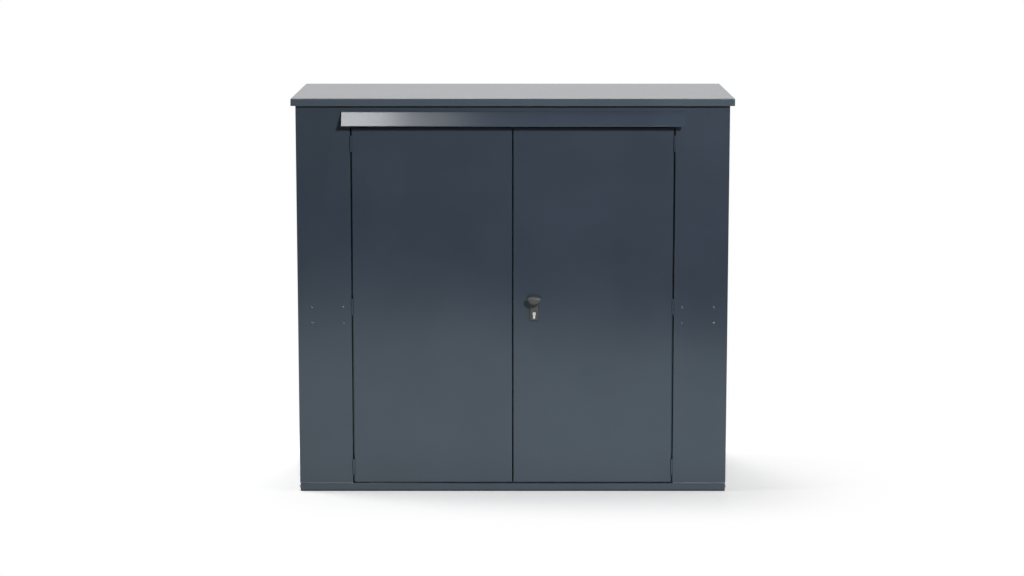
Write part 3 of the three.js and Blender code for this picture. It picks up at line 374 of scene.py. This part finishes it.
# A turned shape: (radius, height along the axis) from one end to the other.
def turned(name, profile, centre, axis, sides=32, start=0.0):
    rings = []
    for radius, along in profile:
        ring = []
        for k in range(sides):
            u = radius * math.cos(start + 2 * math.pi * k / sides)
            v = radius * math.sin(start + 2 * math.pi * k / sides)
            offset = {"x": (along, u, v), "y": (u, along, v), "z": (u, v, along)}[axis]
            ring.append([centre[i] + offset[i] for i in range(3)])
        rings.append(ring)
    return loft(name, rings)


def box(name, low, high):
    corners = [(low[0], low[1]), (high[0], low[1]), (high[0], high[1]), (low[0], high[1])]
    return loft(name, [[(x, y, z) for x, y in corners] for z in (low[2], high[2])])


# An outline of (x, z) points pushed from one y to another.
def pushed(name, outline, fromY, toY):
    return loft(name, [[(x, y, z) for x, z in outline] for y in (fromY, toY)])


def applyModifiers(shape):
    bpy.context.view_layer.update()
    seen = shape.evaluated_get(bpy.context.evaluated_depsgraph_get())
    mesh = bpy.data.meshes.new_from_object(seen)
    shape.modifiers.clear()
    shape.data = mesh


def combine(shape, added=(), removed=()):
    for other, way in [(o, "UNION") for o in added] + [(o, "DIFFERENCE") for o in removed]:
        step = shape.modifiers.new(way.lower(), "BOOLEAN")
        step.operation = way
        step.solver = "EXACT"
        step.object = other
        applyModifiers(shape)
        bpy.data.objects.remove(other)
    return shape


sharpAngle = math.radians(38)  # edges that bend further stay crisp


# Rounds a shape's edges, shades it and puts it in its place in the locker.
def finishPiece(shape, body, slot, replaced=(), edge=0.0, steps=2, material=None):
    if edge > 0:
        rounding = shape.modifiers.new("rounding", "BEVEL")
        rounding.width = edge / 1000
        rounding.segments = steps
        rounding.limit_method = "ANGLE"
        rounding.angle_limit = sharpAngle
        rounding.use_clamp_overlap = True
        applyModifiers(shape)
    shape.data.shade_smooth()
    shape.data.set_sharp_from_angle(angle=sharpAngle)
    evened = shape.modifiers.new("evened", "WEIGHTED_NORMAL")
    evened.keep_sharp = True
    applyModifiers(shape)
    shape.data.materials.clear()
    shape.data.materials.append(finishes[material or slot])
    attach(shape, body)
    if replaced:
        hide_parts(*replaced)
    return shape


# Knob, plate and key cylinder

lock = {
    "x": 104.5,
    "knobZ": 958,
    "keyZ": 888.5,
    "plateBack": -440.3,
    "plateFront": -446.3,
}

# The head is wide and flat above its shoulder and rounder below it, as the photo shows.
knobShape = {
    "halfWidth": 36,
    "shoulder": 6.5,  # its height over the spindle's axis
    "above": 14,      # from the shoulder to the top
    "below": 27,      # and to the bottom
    "front": -495,
    "sides": 64,
    # share of the full outline, and millimetres behind the front
    "head": [(0.10, 0), (0.35, 0.25), (0.55, 0.8), (0.72, 1.9), (0.85, 4.0), (0.94, 7.2), (0.99, 11),
             (1.0, 14), (0.985, 17.5), (0.93, 20.6), (0.83, 23), (0.70, 24.6), (0.56, 25)],
    # radius, and millimetres behind the front
    "neck": [(15.5, 25.6), (12.6, 28), (11.3, 32), (11, 37), (11, 47.0), (10, 47.9)],
}


def knobGrip(shape):
    rings = []
    angles = [2 * math.pi * k / shape["sides"] for k in range(shape["sides"])]
    for share, back in shape["head"]:
        ring = []
        for angle in angles:
            tall = shape["above"] if math.sin(angle) >= 0 else shape["below"]
            ring.append((lock["x"] + share * shape["halfWidth"] * math.cos(angle), shape["front"] + back,
                         lock["knobZ"] + share * (shape["shoulder"] + tall * math.sin(angle))))
        rings.append(ring)
    for radius, back in shape["neck"]:
        rings.append([(lock["x"] + radius * math.cos(angle), shape["front"] + back,
                       lock["knobZ"] + radius * math.sin(angle)) for angle in angles])
    return loft("knobGrip", rings)


finishPiece(knobGrip(knobShape), "knob", "black_handle", ["knob"])


# The section of a profile cylinder: a circle with a round-ended stem below it, grown by a margin.
profileSection = {"radius": 8.5, "height": 33, "stem": 10, "steps": 40}


def keyhole(grown, section=profileSection):
    radius = section["radius"] + grown
    stem = section["stem"] / 2 + grown
    stemZ = lock["keyZ"] + section["radius"] - section["height"] + section["stem"] / 2
    meets = math.asin(stem / radius)
    points = []
    for k in range(section["steps"]):
        angle = meets - math.pi / 2 + (2 * math.pi - 2 * meets) * k / (section["steps"] - 1)
        points.append((lock["x"] + radius * math.cos(angle), lock["keyZ"] + radius * math.sin(angle)))
    for k in range(section["steps"] // 2):
        angle = math.pi + math.pi * k / (section["steps"] // 2 - 1)
        points.append((lock["x"] + stem * math.cos(angle), stemZ + stem * math.sin(angle)))
    return points


def roundedOutline(x0, x1, z0, z1, radius, steps=8):
    points = []
    for cx, cz, start in ((x1 - radius, z1 - radius, 0), (x0 + radius, z1 - radius, 90),
                          (x0 + radius, z0 + radius, 180), (x1 - radius, z0 + radius, 270)):
        for k in range(steps + 1):
            angle = math.radians(start + 90 * k / steps)
            points.append((cx + radius * math.cos(angle), cz + radius * math.sin(angle)))
    return points


# The plate's long sides are well rounded, a hollow runs round the cylinder, and a black rubber gasket
# between the plate and the door shows as a dark line round it.
plateShape = {
    "halfWidth": 20,
    "bottom": 854.5,
    "top": 970,
    "corner": 8,
    "rounding": 3.6,
    "edge": 0.35,
    "hollow": 4.4,       # how far it reaches round the cylinder
    "hollowDepth": 2.6,
    "hollowSlope": 1.2,
    "hollowFlare": 2,    # the cutter widens as much as it stands out
    "fit": 0.3,
    "spindleHole": 7,
    "spindleReach": 12,  # how deep its cutter goes
    "past": 5,           # how far cutters reach past the plate
}
gasketShape = {"halfWidth": 23, "bottom": 851, "top": 972, "corner": 9, "front": -443.4, "rounding": 1.2,
               "margin": 1.5}


# A flat plate with a rounded rim, as a pillow of rings from its back to its front.
def cushion(name, shape, front, back, steps=6):
    rings = []
    for k in range(steps + 1):
        angle = math.pi / 2 * k / steps
        inset = shape["rounding"] * (1 - math.cos(angle))
        y = front + shape["rounding"] * (1 - math.sin(angle))
        rings.append([(x, y, z) for x, z in roundedOutline(
            lock["x"] - shape["halfWidth"] + inset, lock["x"] + shape["halfWidth"] - inset,
            shape["bottom"] + inset, shape["top"] - inset, shape["corner"] - inset)])
    return loft(name, [[(x, back, z) for x, _, z in rings[0]]] + rings)


def lockEscutcheon(shape, gasket):
    front, back = lock["plateFront"], lock["plateBack"]
    wide, flare, past = shape["hollow"], shape["hollowFlare"], shape["past"]
    plate = cushion("lockEscutcheon", shape, front, back)
    hollow = loft("hollow", [
        [(x, front - flare, z) for x, z in keyhole(wide + flare)],
        [(x, front, z) for x, z in keyhole(wide)],
        [(x, front + shape["hollowDepth"], z) for x, z in keyhole(wide - shape["hollowSlope"])],
    ])
    through = pushed("through", keyhole(shape["fit"]), front - past, back + past)
    hole = [(shape["spindleHole"], y) for y in (front - past, front + shape["spindleReach"])]
    spindle = turned("spindleHole", hole, (lock["x"], 0, lock["knobZ"]), "y")
    combine(plate, removed=[hollow, through, spindle])
    seal = cushion("lockGasket", gasket, gasket["front"], back)
    window = {**shape, "halfWidth": shape["halfWidth"] - gasket["margin"], "rounding": 0,
              "bottom": shape["bottom"] + gasket["margin"], "top": shape["top"] - gasket["margin"]}
    combine(seal, removed=[cushion("window", window, gasket["front"] - past, back + past, 1)])
    finishPiece(plate, "right_door", "black_handle", ["lock_plate"], edge=shape["edge"])
    finishPiece(seal, "right_door", "black_handle", material="rubber")


lockEscutcheon(plateShape, gasketShape)

cylinderShape = {
    "front": -448.3,
    "back": -425.5,
    "edge": 0.45,
    "edgeStep": 0.3,    # share of the edge where its bevel breaks
    "bore": 6.12,
    "plug": 6.0,
    "plugInset": 0.15,
    "plugEdge": 0.4,
    "neck": 5.2,        # the plug's neck behind the body, which carries the gear
    "neckEnd": -424.8,
    "keywayDepth": 16,
    "past": 3,          # how far cutters reach past the faces
    "sides": 48,
}
keywayPoints = [(-1.4, -4.6), (1.4, -4.6), (1.4, -2.4), (0.8, -1.8), (0.8, -0.6), (1.6, 0), (1.6, 1.7),
                (0.6, 2.4), (0.6, 4.6), (-1.4, 4.6), (-1.4, 2.8), (-0.7, 2.2), (-0.7, 0.6), (-1.6, 0),
                (-1.6, -2.0), (-1.4, -2.6)]
plugGear = {"module": 1.3, "teeth": 10, "front": -425.2, "back": -419.2, "tip": 0.75, "root": 1.0,
            "slack": 0.15, "pressureAngle": 20}


def gearOutline(gear):
    module, teeth = gear["module"], gear["teeth"]
    pitch = module * teeth / 2
    base = pitch * math.cos(math.radians(gear["pressureAngle"]))

    def involute(radius):
        angle = math.acos(min(1, base / radius))
        return math.tan(angle) - angle

    def halfTooth(radius):
        return math.pi / 2 / teeth + involute(pitch) - involute(radius) - gear["slack"] * module / pitch

    root = pitch - gear["root"] * module
    flank = [(r, halfTooth(r)) for r in (root, max(base, root), pitch, pitch + gear["tip"] * module)]
    points = []
    for tooth in range(teeth):
        middle = math.pi / 2 + 2 * math.pi * tooth / teeth
        for radius, half in [(r, -h) for r, h in flank] + [(r, h) for r, h in reversed(flank)]:
            angle = middle + half
            points.append((lock["x"] + radius * math.cos(angle), lock["keyZ"] + radius * math.sin(angle)))
    return points


def cylinderPieces(shape, gear):
    axis = (lock["x"], 0, lock["keyZ"])
    front, back, edge, past = shape["front"], shape["back"], shape["edge"], shape["past"]
    body = loft("cylinderBody", [
        [(x, front, z) for x, z in keyhole(-edge)],
        [(x, front + edge * shape["edgeStep"], z) for x, z in keyhole(-edge * shape["edgeStep"])],
        [(x, front + edge, z) for x, z in keyhole(0)],
        [(x, back, z) for x, z in keyhole(0)],
    ])
    hole = [(shape["bore"], front - past), (shape["bore"], back + past)]
    combine(body, removed=[turned("bore", hole, axis, "y", shape["sides"])])
    face = front + shape["plugInset"]
    rim, neck, bevel = shape["plug"], shape["neck"], shape["plugEdge"]
    profile = [(rim - bevel, face), (rim, face + bevel), (rim, back), (neck, back),
               (neck, shape["neckEnd"])]
    plug = turned("cylinderPlug", profile, axis, "y", shape["sides"])
    drive = pushed("drive", gearOutline(gear), gear["front"], gear["back"])
    slit = [(lock["x"] + x, lock["keyZ"] + z) for x, z in keywayPoints]
    keyway = pushed("keyway", slit, face - past, face + shape["keywayDepth"])
    combine(plug, added=[drive], removed=[keyway])
    finishPiece(body, "right_door", "nickel_cylinder", ["key_cylinder"])
    finishPiece(plug, "key_plug", "nickel_cylinder", ["key_plug"])


cylinderPieces(cylinderShape, plugGear)
print("knob, plate and cylinder made")


# Hinges

hinge = {
    "opening": 787,
    "gapBeside": 7,
    "fit": 0.3,
    "axisY": -444.3,
    "heights": {"lower": 123.2, "middle": 922.6, "upper": 1722},
    "radius": 5,
    "length": 78,
    "pin": 3,
    "pinInset": 0.4,
    "pinChamfer": 0.2,
    "leaf": 2,
    "leafFront": -439.0,
    "leafBack": -414,
    "stripInset": 0.2,  # the strips between leaf and knuckles are shorter than the knuckles
    "overlap": 0.4,     # how far joined shapes run into each other
    "chamfer": 0.7,
}
hinge["axisX"] = hinge["opening"] - hinge["gapBeside"] / 2
hinge["frameLeafX"] = hinge["opening"] - hinge["fit"] - hinge["leaf"]
hinge["doorLeafX"] = hinge["opening"] - hinge["gapBeside"] + hinge["fit"]


def roundBar(radius, low, high, chamfer):
    return [(radius - chamfer, low), (radius, low + chamfer),
            (radius, high - chamfer), (radius - chamfer, high)]


def barrel(name, radius, low, high, side, z, chamfer):
    centre = (side * hinge["axisX"], hinge["axisY"], z)
    return turned(name, roundBar(radius, low, high, chamfer), centre, "z")


def hingeLeaf(name, nearX, side, z, spans):
    half = hinge["length"] / 2
    x0, x1 = sorted((side * nearX, side * (nearX + hinge["leaf"])))
    leaf = box(name, (x0, hinge["leafFront"], z - half), (x1, hinge["leafBack"], z + half))
    inset, back = hinge["stripInset"], hinge["leafFront"] + hinge["overlap"]
    strips = [box("strip", (x0, hinge["axisY"], z + low + inset), (x1, back, z + high - inset))
              for low, high in spans]
    return combine(leaf, added=strips)


def addHinge(sideName, side, place, z):
    half = hinge["length"] / 2
    split = hinge["length"] / 6
    gap = hinge["fit"] / 2
    ends = [(-half, -split - gap), (split + gap, half)]
    middle = (-split + gap, split - gap)
    frameLeaf = hingeLeaf(f"{sideName}{place}HingeFrameLeaf", hinge["frameLeafX"], side, z, ends)
    parts = [barrel("knuckle", hinge["radius"], low, high, side, z, hinge["chamfer"]) for low, high in ends]
    pinHalf = half - hinge["pinInset"]
    parts.append(barrel("pin", hinge["pin"], -pinHalf, pinHalf, side, z, hinge["pinChamfer"]))
    combine(frameLeaf, added=parts)
    doorLeaf = hingeLeaf(f"{sideName}{place}HingeDoorLeaf", hinge["doorLeafX"], side, z, [middle])
    knuckle = barrel("knuckle", hinge["radius"], *middle, side, z, hinge["chamfer"])
    bore = barrel("bore", hinge["pin"] + hinge["fit"], -half, half, side, z, hinge["pinChamfer"])
    combine(doorLeaf, added=[knuckle], removed=[bore])
    nodeStart = f"{sideName}_{place.lower()}_hinge_"
    finishPiece(frameLeaf, "cabinet", "powder_coat", [nodeStart + "frame_leaf"])
    finishPiece(doorLeaf, sideName + "_door", "powder_coat", [nodeStart + "door_leaf"])


for place, z in hinge["heights"].items():
    addHinge("left", -1, place.capitalize(), z)
    addHinge("right", 1, place.capitalize(), z)
print("hinges made")


# Bolts

# Mushroom-headed bolts on a plate behind the fixed front panels.
braceBolts = {
    "xs": (827, 982),
    "zs": (841, 919),
    "headRadius": 7,
    "headHeight": 4,
    "headBack": -440.3,
    "dome": (86, 75, 60, 45, 30, 15, 0),  # degrees above the rim, from the top down
    "headSides": 28,
    "shank": 4,
    "shankStart": 0.6,                    # how far the shank starts inside the head
    "shankEnd": 0.5,                      # and how far it ends inside the plate
    "shankSides": 20,
    "plateFront": -438.2,
    "plateBack": -435.2,
    "margin": 22,
}


def bracePlate(sideName, side, look):
    xs = sorted(side * x for x in look["xs"])
    margin = look["margin"]
    plate = box(f"{sideName}BracePlate", (xs[0] - margin, look["plateFront"], look["zs"][0] - margin),
                (xs[1] + margin, look["plateBack"], look["zs"][1] + margin))
    dome = [(look["headRadius"] * math.cos(math.radians(angle)),
             -look["headHeight"] * math.sin(math.radians(angle))) for angle in look["dome"]]
    rod = [(look["shank"], look["headBack"] - look["shankStart"]),
           (look["shank"], look["plateFront"] + look["shankEnd"])]
    for x in xs:
        for z in look["zs"]:
            head = turned("head", dome, (x, look["headBack"], z), "y", look["headSides"])
            shank = turned("shank", rod, (x, 0, z), "y", look["shankSides"])
            combine(plate, added=[head, shank])
    # the plate and its bolt heads take the lighter copy of the coat, which is painted light
    finishPiece(plate, "cabinet", "dark_fasteners", [f"{sideName}_brace_plate"])


bracePlate("left", -1, braceBolts)
bracePlate("right", 1, braceBolts)

# Hexagon-headed bolts with a chamfered crown, through the side rails.
baseBolts = {
    "ys": {"front": -420, "rear": 455},
    "z": 20.5,
    "headBack": 1047.8,
    "acrossCorners": 15,
    "crown": [(1, 0), (1, 4.6), (0.93, 5.2), (0.84, 5.5)],  # share of the corners, height over the rail
    "shank": 4,
    "shankStart": 0.4,
    "length": 12.3,
    "shankSides": 20,
}


def baseBolt(sideName, side, place, y, look):
    axis = (side * look["headBack"], y, look["z"])
    corner = look["acrossCorners"] / 2
    crown = [(corner * share, side * height) for share, height in look["crown"]]
    head = turned(f"{sideName}Base{place.capitalize()}Bolt", crown, axis, "x", 6, math.pi / 2)
    rod = [(look["shank"], side * look["shankStart"]), (look["shank"], -side * look["length"])]
    combine(head, added=[turned("shank", rod, axis, "x", look["shankSides"])])
    finishPiece(head, "cabinet", "zinc_plated_steel", [f"{sideName}_base_{place}_bolt"])


for place, y in baseBolts["ys"].items():
    baseBolt("left", -1, place, y, baseBolts)
    baseBolt("right", 1, place, y, baseBolts)

# Round shoot bolts that hold the left door, with a pin to push them by.
shootBolts = {
    "x": -40,
    "y": -430,
    "radius": 6,
    "chamfer": 1.2,
    "pin": 3,
    "pinChamfer": 0.6,
    "pinEnd": -415,
    "pinSides": 24,
    "top": {"end": 1799, "start": 1569, "pinZ": 1644},
    "bottom": {"end": 46.2, "start": 276.2, "pinZ": 201.2},
}


def shootBolt(place, look):
    at = look[place]
    low, high = sorted((at["end"], at["start"]))
    profile = roundBar(look["radius"], low, high, look["chamfer"])
    bolt = turned(f"{place}ShootBolt", profile, (look["x"], look["y"], 0), "z")
    radius, end, chamfer = look["pin"], look["pinEnd"], look["pinChamfer"]
    grip = [(radius, look["y"]), (radius, end - chamfer), (radius - chamfer, end)]
    pin = turned("pin", grip, (look["x"], 0, at["pinZ"]), "y", look["pinSides"])
    combine(bolt, added=[pin])
    finishPiece(bolt, f"{place}_shoot_bolt", "zinc_plated_steel", [f"{place}_shoot_bolt"])


shootBolt("top", shootBolts)
shootBolt("bottom", shootBolts)
print("bolts made")


# Sealant

# A painted bead of sealant closes the seam between the rear panels from the inside. Light grey ones close
# the joints between the fixed front panels and the base, and their light grey is a painted highlight that
# makes a thin light line there.
seamBead = {"halfWidth": 4, "front": 447, "back": 450, "bottom": 46, "top": 1860, "edge": 1.2, "steps": 3}
baseBead = {"z": 41.0, "y": -440.2, "radius": 1.8, "from": 788, "to": 1047, "sides": 16}


def sealBead(name, shape):
    bead = box(name, (-shape["halfWidth"], shape["front"], shape["bottom"]),
               (shape["halfWidth"], shape["back"], shape["top"]))
    finishPiece(bead, "cabinet", "powder_coat", edge=shape["edge"], steps=shape["steps"])


def jointBead(name, side, shape):
    ends = sorted((side * shape["from"], side * shape["to"]))
    profile = [(shape["radius"], end) for end in ends]
    bead = turned(name, profile, (0, shape["y"], shape["z"]), "x", shape["sides"])
    finishPiece(bead, "cabinet", "powder_coat", material="sealant")


sealBead("rearSeamBead", seamBead)
jointBead("leftBaseBead", -1, baseBead)
jointBead("rightBaseBead", 1, baseBead)
print("joints sealed")


# Studio

# A matt white floor. Near the locker it shows shadows, and farther off it turns to plain white, as in a
# picture that was cut out. To reflections it glows, a painted pool of light that ends some metres off and
# gives the doors their brighter lower half. The pool's middle is to the left, so its edge slopes on the
# doors.
studioFloor = {
    "radius": 26,                # m
    "sides": 96,
    "level": -0.5,               # mm, just under the locker
    "white": "#f2f2f2",
    "footprint": (1.05, 0.46),   # half of the locker's width and depth in m: distances start at its edge
    "shallow": 1.35,             # distances before and behind it count as so many times longer
    "plainFrom": 0.12,           # m, where shadows begin to fade, and where they have gone
    "plainTo": 0.95,
    "fill": 0.40,                # light added to the shadows, seen by the camera alone
    "contactShadow": (0.015, 0.035),   # m, a painted contact shadow: the glow fades out at the foot, and the paint reflects it as a dark line under the base
    "shineNear": 0.7,            # share of the pool's glow beside that line
    "shineTo": 1.2,              # m, where the glow is whole
    "poolMiddle": (-2.4, 0, 0),  # m
    "poolEdge": 6.05,            # m from its middle
    "poolSoft": 0.5,
    "pool": 1.57,                # strength inside the edge, and beyond it
    "beyond": 0.04,
    "poolColour": "#e9fbff",
    "bounce": 0.14,              # a painted glow standing in for what it throws back on matt faces: more would make the doors look pale
}


def addFloor(look):
    radius = look["radius"] * 1000
    angles = [2 * math.pi * k / look["sides"] for k in range(look["sides"])]
    rim = [(radius * math.cos(angle), radius * math.sin(angle), look["level"]) for angle in angles]
    floor = closedMesh("studioFloor", rim, [tuple(range(look["sides"]))])
    paint, tree = newFinish("paleStudioFloor")
    place = addNode(tree, "NewGeometry").outputs["Position"]
    away = addNode(tree, "VectorMath", {"operation": "DISTANCE", 1: look["poolMiddle"]}, {0: place})
    smooth = {"interpolation_type": "SMOOTHSTEP"}
    span = addNode(tree, "VectorMath", {"operation": "ABSOLUTE"}, {0: place}).outputs["Vector"]
    outside = addNode(tree, "VectorMath", {"operation": "SUBTRACT", 1: (*look["footprint"], 0)}, {0: span})
    past = addNode(tree, "VectorMath", {"operation": "MAXIMUM", 1: (0, 0, 0)},
                   {0: outside.outputs["Vector"]})
    shallow = addNode(tree, "VectorMath", {"operation": "MULTIPLY", 1: (1, look["shallow"], 1)},
                      {0: past.outputs["Vector"]})
    length = addNode(tree, "VectorMath", {"operation": "LENGTH"}, {0: shallow.outputs["Vector"]})
    beside = length.outputs["Value"]
    plain = addNode(tree, "MapRange", {**smooth, "From Min": look["plainFrom"],
                                       "From Max": look["plainTo"]}, {"Value": beside})
    shineNear = addNode(tree, "MapRange", {"From Min": look["contactShadow"][0], "From Max": look["contactShadow"][1],
                                           "To Max": look["shineNear"]}, {"Value": beside})
    shine = addNode(tree, "MapRange", {"From Max": look["shineTo"], "To Max": 1.0},
                    {"Value": beside, "To Min": shineNear.outputs["Result"]})
    pool = addNode(tree, "MapRange", {**smooth, "From Min": look["poolEdge"] - look["poolSoft"],
                                      "From Max": look["poolEdge"] + look["poolSoft"],
                                      "To Min": look["pool"], "To Max": look["beyond"]},
                   {"Value": away.outputs["Value"]})
    rays = addNode(tree, "LightPath")
    glowShare = addNode(tree, "Mix", {"data_type": "FLOAT"}, {0: rays.outputs["Is Glossy Ray"],
                                                             2: plain.outputs["Result"],
                                                             3: shine.outputs["Result"]})
    glow = addNode(tree, "Mix", {"data_type": "FLOAT", 3: 1.0},
                   {0: rays.outputs["Is Camera Ray"], 2: pool.outputs["Result"]})
    matt = addNode(tree, "BsdfDiffuse", {"Color": toLinear(look["white"])})
    tint = addNode(tree, "Mix", {"data_type": "RGBA", 6: toLinear(look["poolColour"]), 7: (1, 1, 1, 1)},
                   {0: rays.outputs["Is Camera Ray"]})
    light = addNode(tree, "Emission", {}, {"Strength": glow.outputs[0], "Color": tint.outputs[2]})
    fill = addNode(tree, "Math", {"operation": "MULTIPLY", 1: look["fill"]},
                   {0: rays.outputs["Is Camera Ray"]})
    filled = addNode(tree, "Emission", {"Color": (1, 1, 1, 1)}, {"Strength": fill.outputs["Value"]})
    near = addNode(tree, "AddShader", {}, {0: matt.outputs["BSDF"], 1: filled.outputs["Emission"]})
    both = addNode(tree, "MixShader", {}, {0: glowShare.outputs[0], 1: near.outputs["Shader"],
                                           2: light.outputs["Emission"]})
    dim = addNode(tree, "Emission", {"Color": (1, 1, 1, 1), "Strength": look["bounce"]})
    seen = addNode(tree, "MixShader", {}, {0: rays.outputs["Is Diffuse Ray"], 1: both.outputs["Shader"],
                                           2: dim.outputs["Emission"]})
    addNode(tree, "OutputMaterial", {}, {"Surface": seen.outputs["Shader"]})
    floor.data.materials.append(paint)
    return floor


# White behind everything that the camera sees. The light of the room is brighter behind the locker than
# before it, and brightest near the horizon. Heights and depths are those of a direction one metre long.
studioRoom = {
    "backHorizon": 0.80,
    "backOverhead": 0.22,
    "backFade": (0.15, 0.45),   # heights between which the horizon's light turns to the overhead one
    "frontHorizon": 0.42,
    "frontOverhead": 0.08,
    "frontFade": (0.0, 0.14),
    "turn": (-0.2, 0.4),        # depths between which front turns to back
}


def addRoom(look):
    room = bpy.data.worlds.new("studioRoom")
    scene.world = room
    room.use_nodes = True
    tree = room.node_tree
    tree.nodes.clear()
    way = addNode(tree, "SeparateXYZ", {}, {0: addNode(tree, "TexCoord").outputs["Generated"]})
    smooth = {"interpolation_type": "SMOOTHSTEP"}
    fades = []
    for end in ("front", "back"):
        low, high = look[end + "Fade"]
        span = {"From Min": low, "From Max": high, "To Min": look[end + "Horizon"],
                "To Max": look[end + "Overhead"]}
        fades.append(addNode(tree, "MapRange", {**smooth, **span}, {"Value": way.outputs["Z"]}))
    turn = addNode(tree, "MapRange", {**smooth, "From Min": look["turn"][0], "From Max": look["turn"][1]},
                   {"Value": way.outputs["Y"]})
    level = addNode(tree, "Mix", {"data_type": "FLOAT"}, {0: turn.outputs["Result"],
                                                         2: fades[0].outputs["Result"],
                                                         3: fades[1].outputs["Result"]})
    soft = addNode(tree, "Background", {"Color": (1, 1, 1, 1)}, {"Strength": level.outputs[0]})
    white = addNode(tree, "Background", {"Color": (1, 1, 1, 1), "Strength": 1.0})
    rays = addNode(tree, "LightPath")
    both = addNode(tree, "MixShader", {}, {0: rays.outputs["Is Camera Ray"], 1: soft.outputs["Background"],
                                           2: white.outputs["Background"]})
    addNode(tree, "OutputWorld", {}, {"Surface": both.outputs["Shader"]})


# A small key light before the locker on the right throws the sharp shadows under the roof, the guard and
# the knob, and leaves the floor alone. Three large lamps at the left, behind and at the right light the
# floor. The last two only shine in the guard's slope.
softboxes = {
    "key": {"place": (2.7, -7.3, 4.8), "aim": (0, -0.44, 1.2), "size": (0.8, 0.8), "power": 640,
            "offFloor": True},
    "left": {"place": (-6.4, 0.5, 8.0), "aim": (-6.4, 0.5, 0), "size": (3.4, 4.6), "power": 600},
    "behind": {"place": (0.3, 3.4, 5.2), "aim": (0.3, 3.4, 0), "size": (2.4, 3.0), "power": 150},
    "right": {"place": (4.7, -0.9, 6.9), "aim": (4.7, -0.9, 0), "size": (3.1, 4.4), "power": 155},
    "guardShine": {"place": (-1.88, -1.95, 4.4), "aim": (-1.88, -1.95, 0), "size": (2.38, 1.2),
                   "power": 106, "onlyShine": True},
    "guardGlow": {"place": (-0.48, -1.95, 4.4), "aim": (-0.48, -1.95, 0), "size": (0.36, 1.2),
                  "power": 3, "onlyShine": True},
}


def addSoftbox(name, look, floor):
    lamp = bpy.data.lights.new(name, "AREA")
    lamp.shape = "RECTANGLE"
    lamp.size, lamp.size_y = look["size"]
    lamp.energy = look["power"]
    holder = bpy.data.objects.new(name, lamp)
    scene.collection.objects.link(holder)
    holder.location = look["place"]
    towards = Vector(look["aim"]) - Vector(look["place"])
    holder.rotation_euler = towards.to_track_quat("-Z", "Y").to_euler()
    holder.visible_camera = False
    holder.visible_diffuse = not look.get("onlyShine", False)
    if look.get("offFloor", False):
        unlit = bpy.data.collections.new(name + "Unlit")
        unlit.objects.link(floor)
        unlit.collection_objects[0].light_linking.link_state = "EXCLUDE"
        holder.light_linking.receiver_collection = unlit


floor = addFloor(studioFloor)
addRoom(studioRoom)
for name, look in softboxes.items():
    addSoftbox(name, look, floor)
print("studio lit")
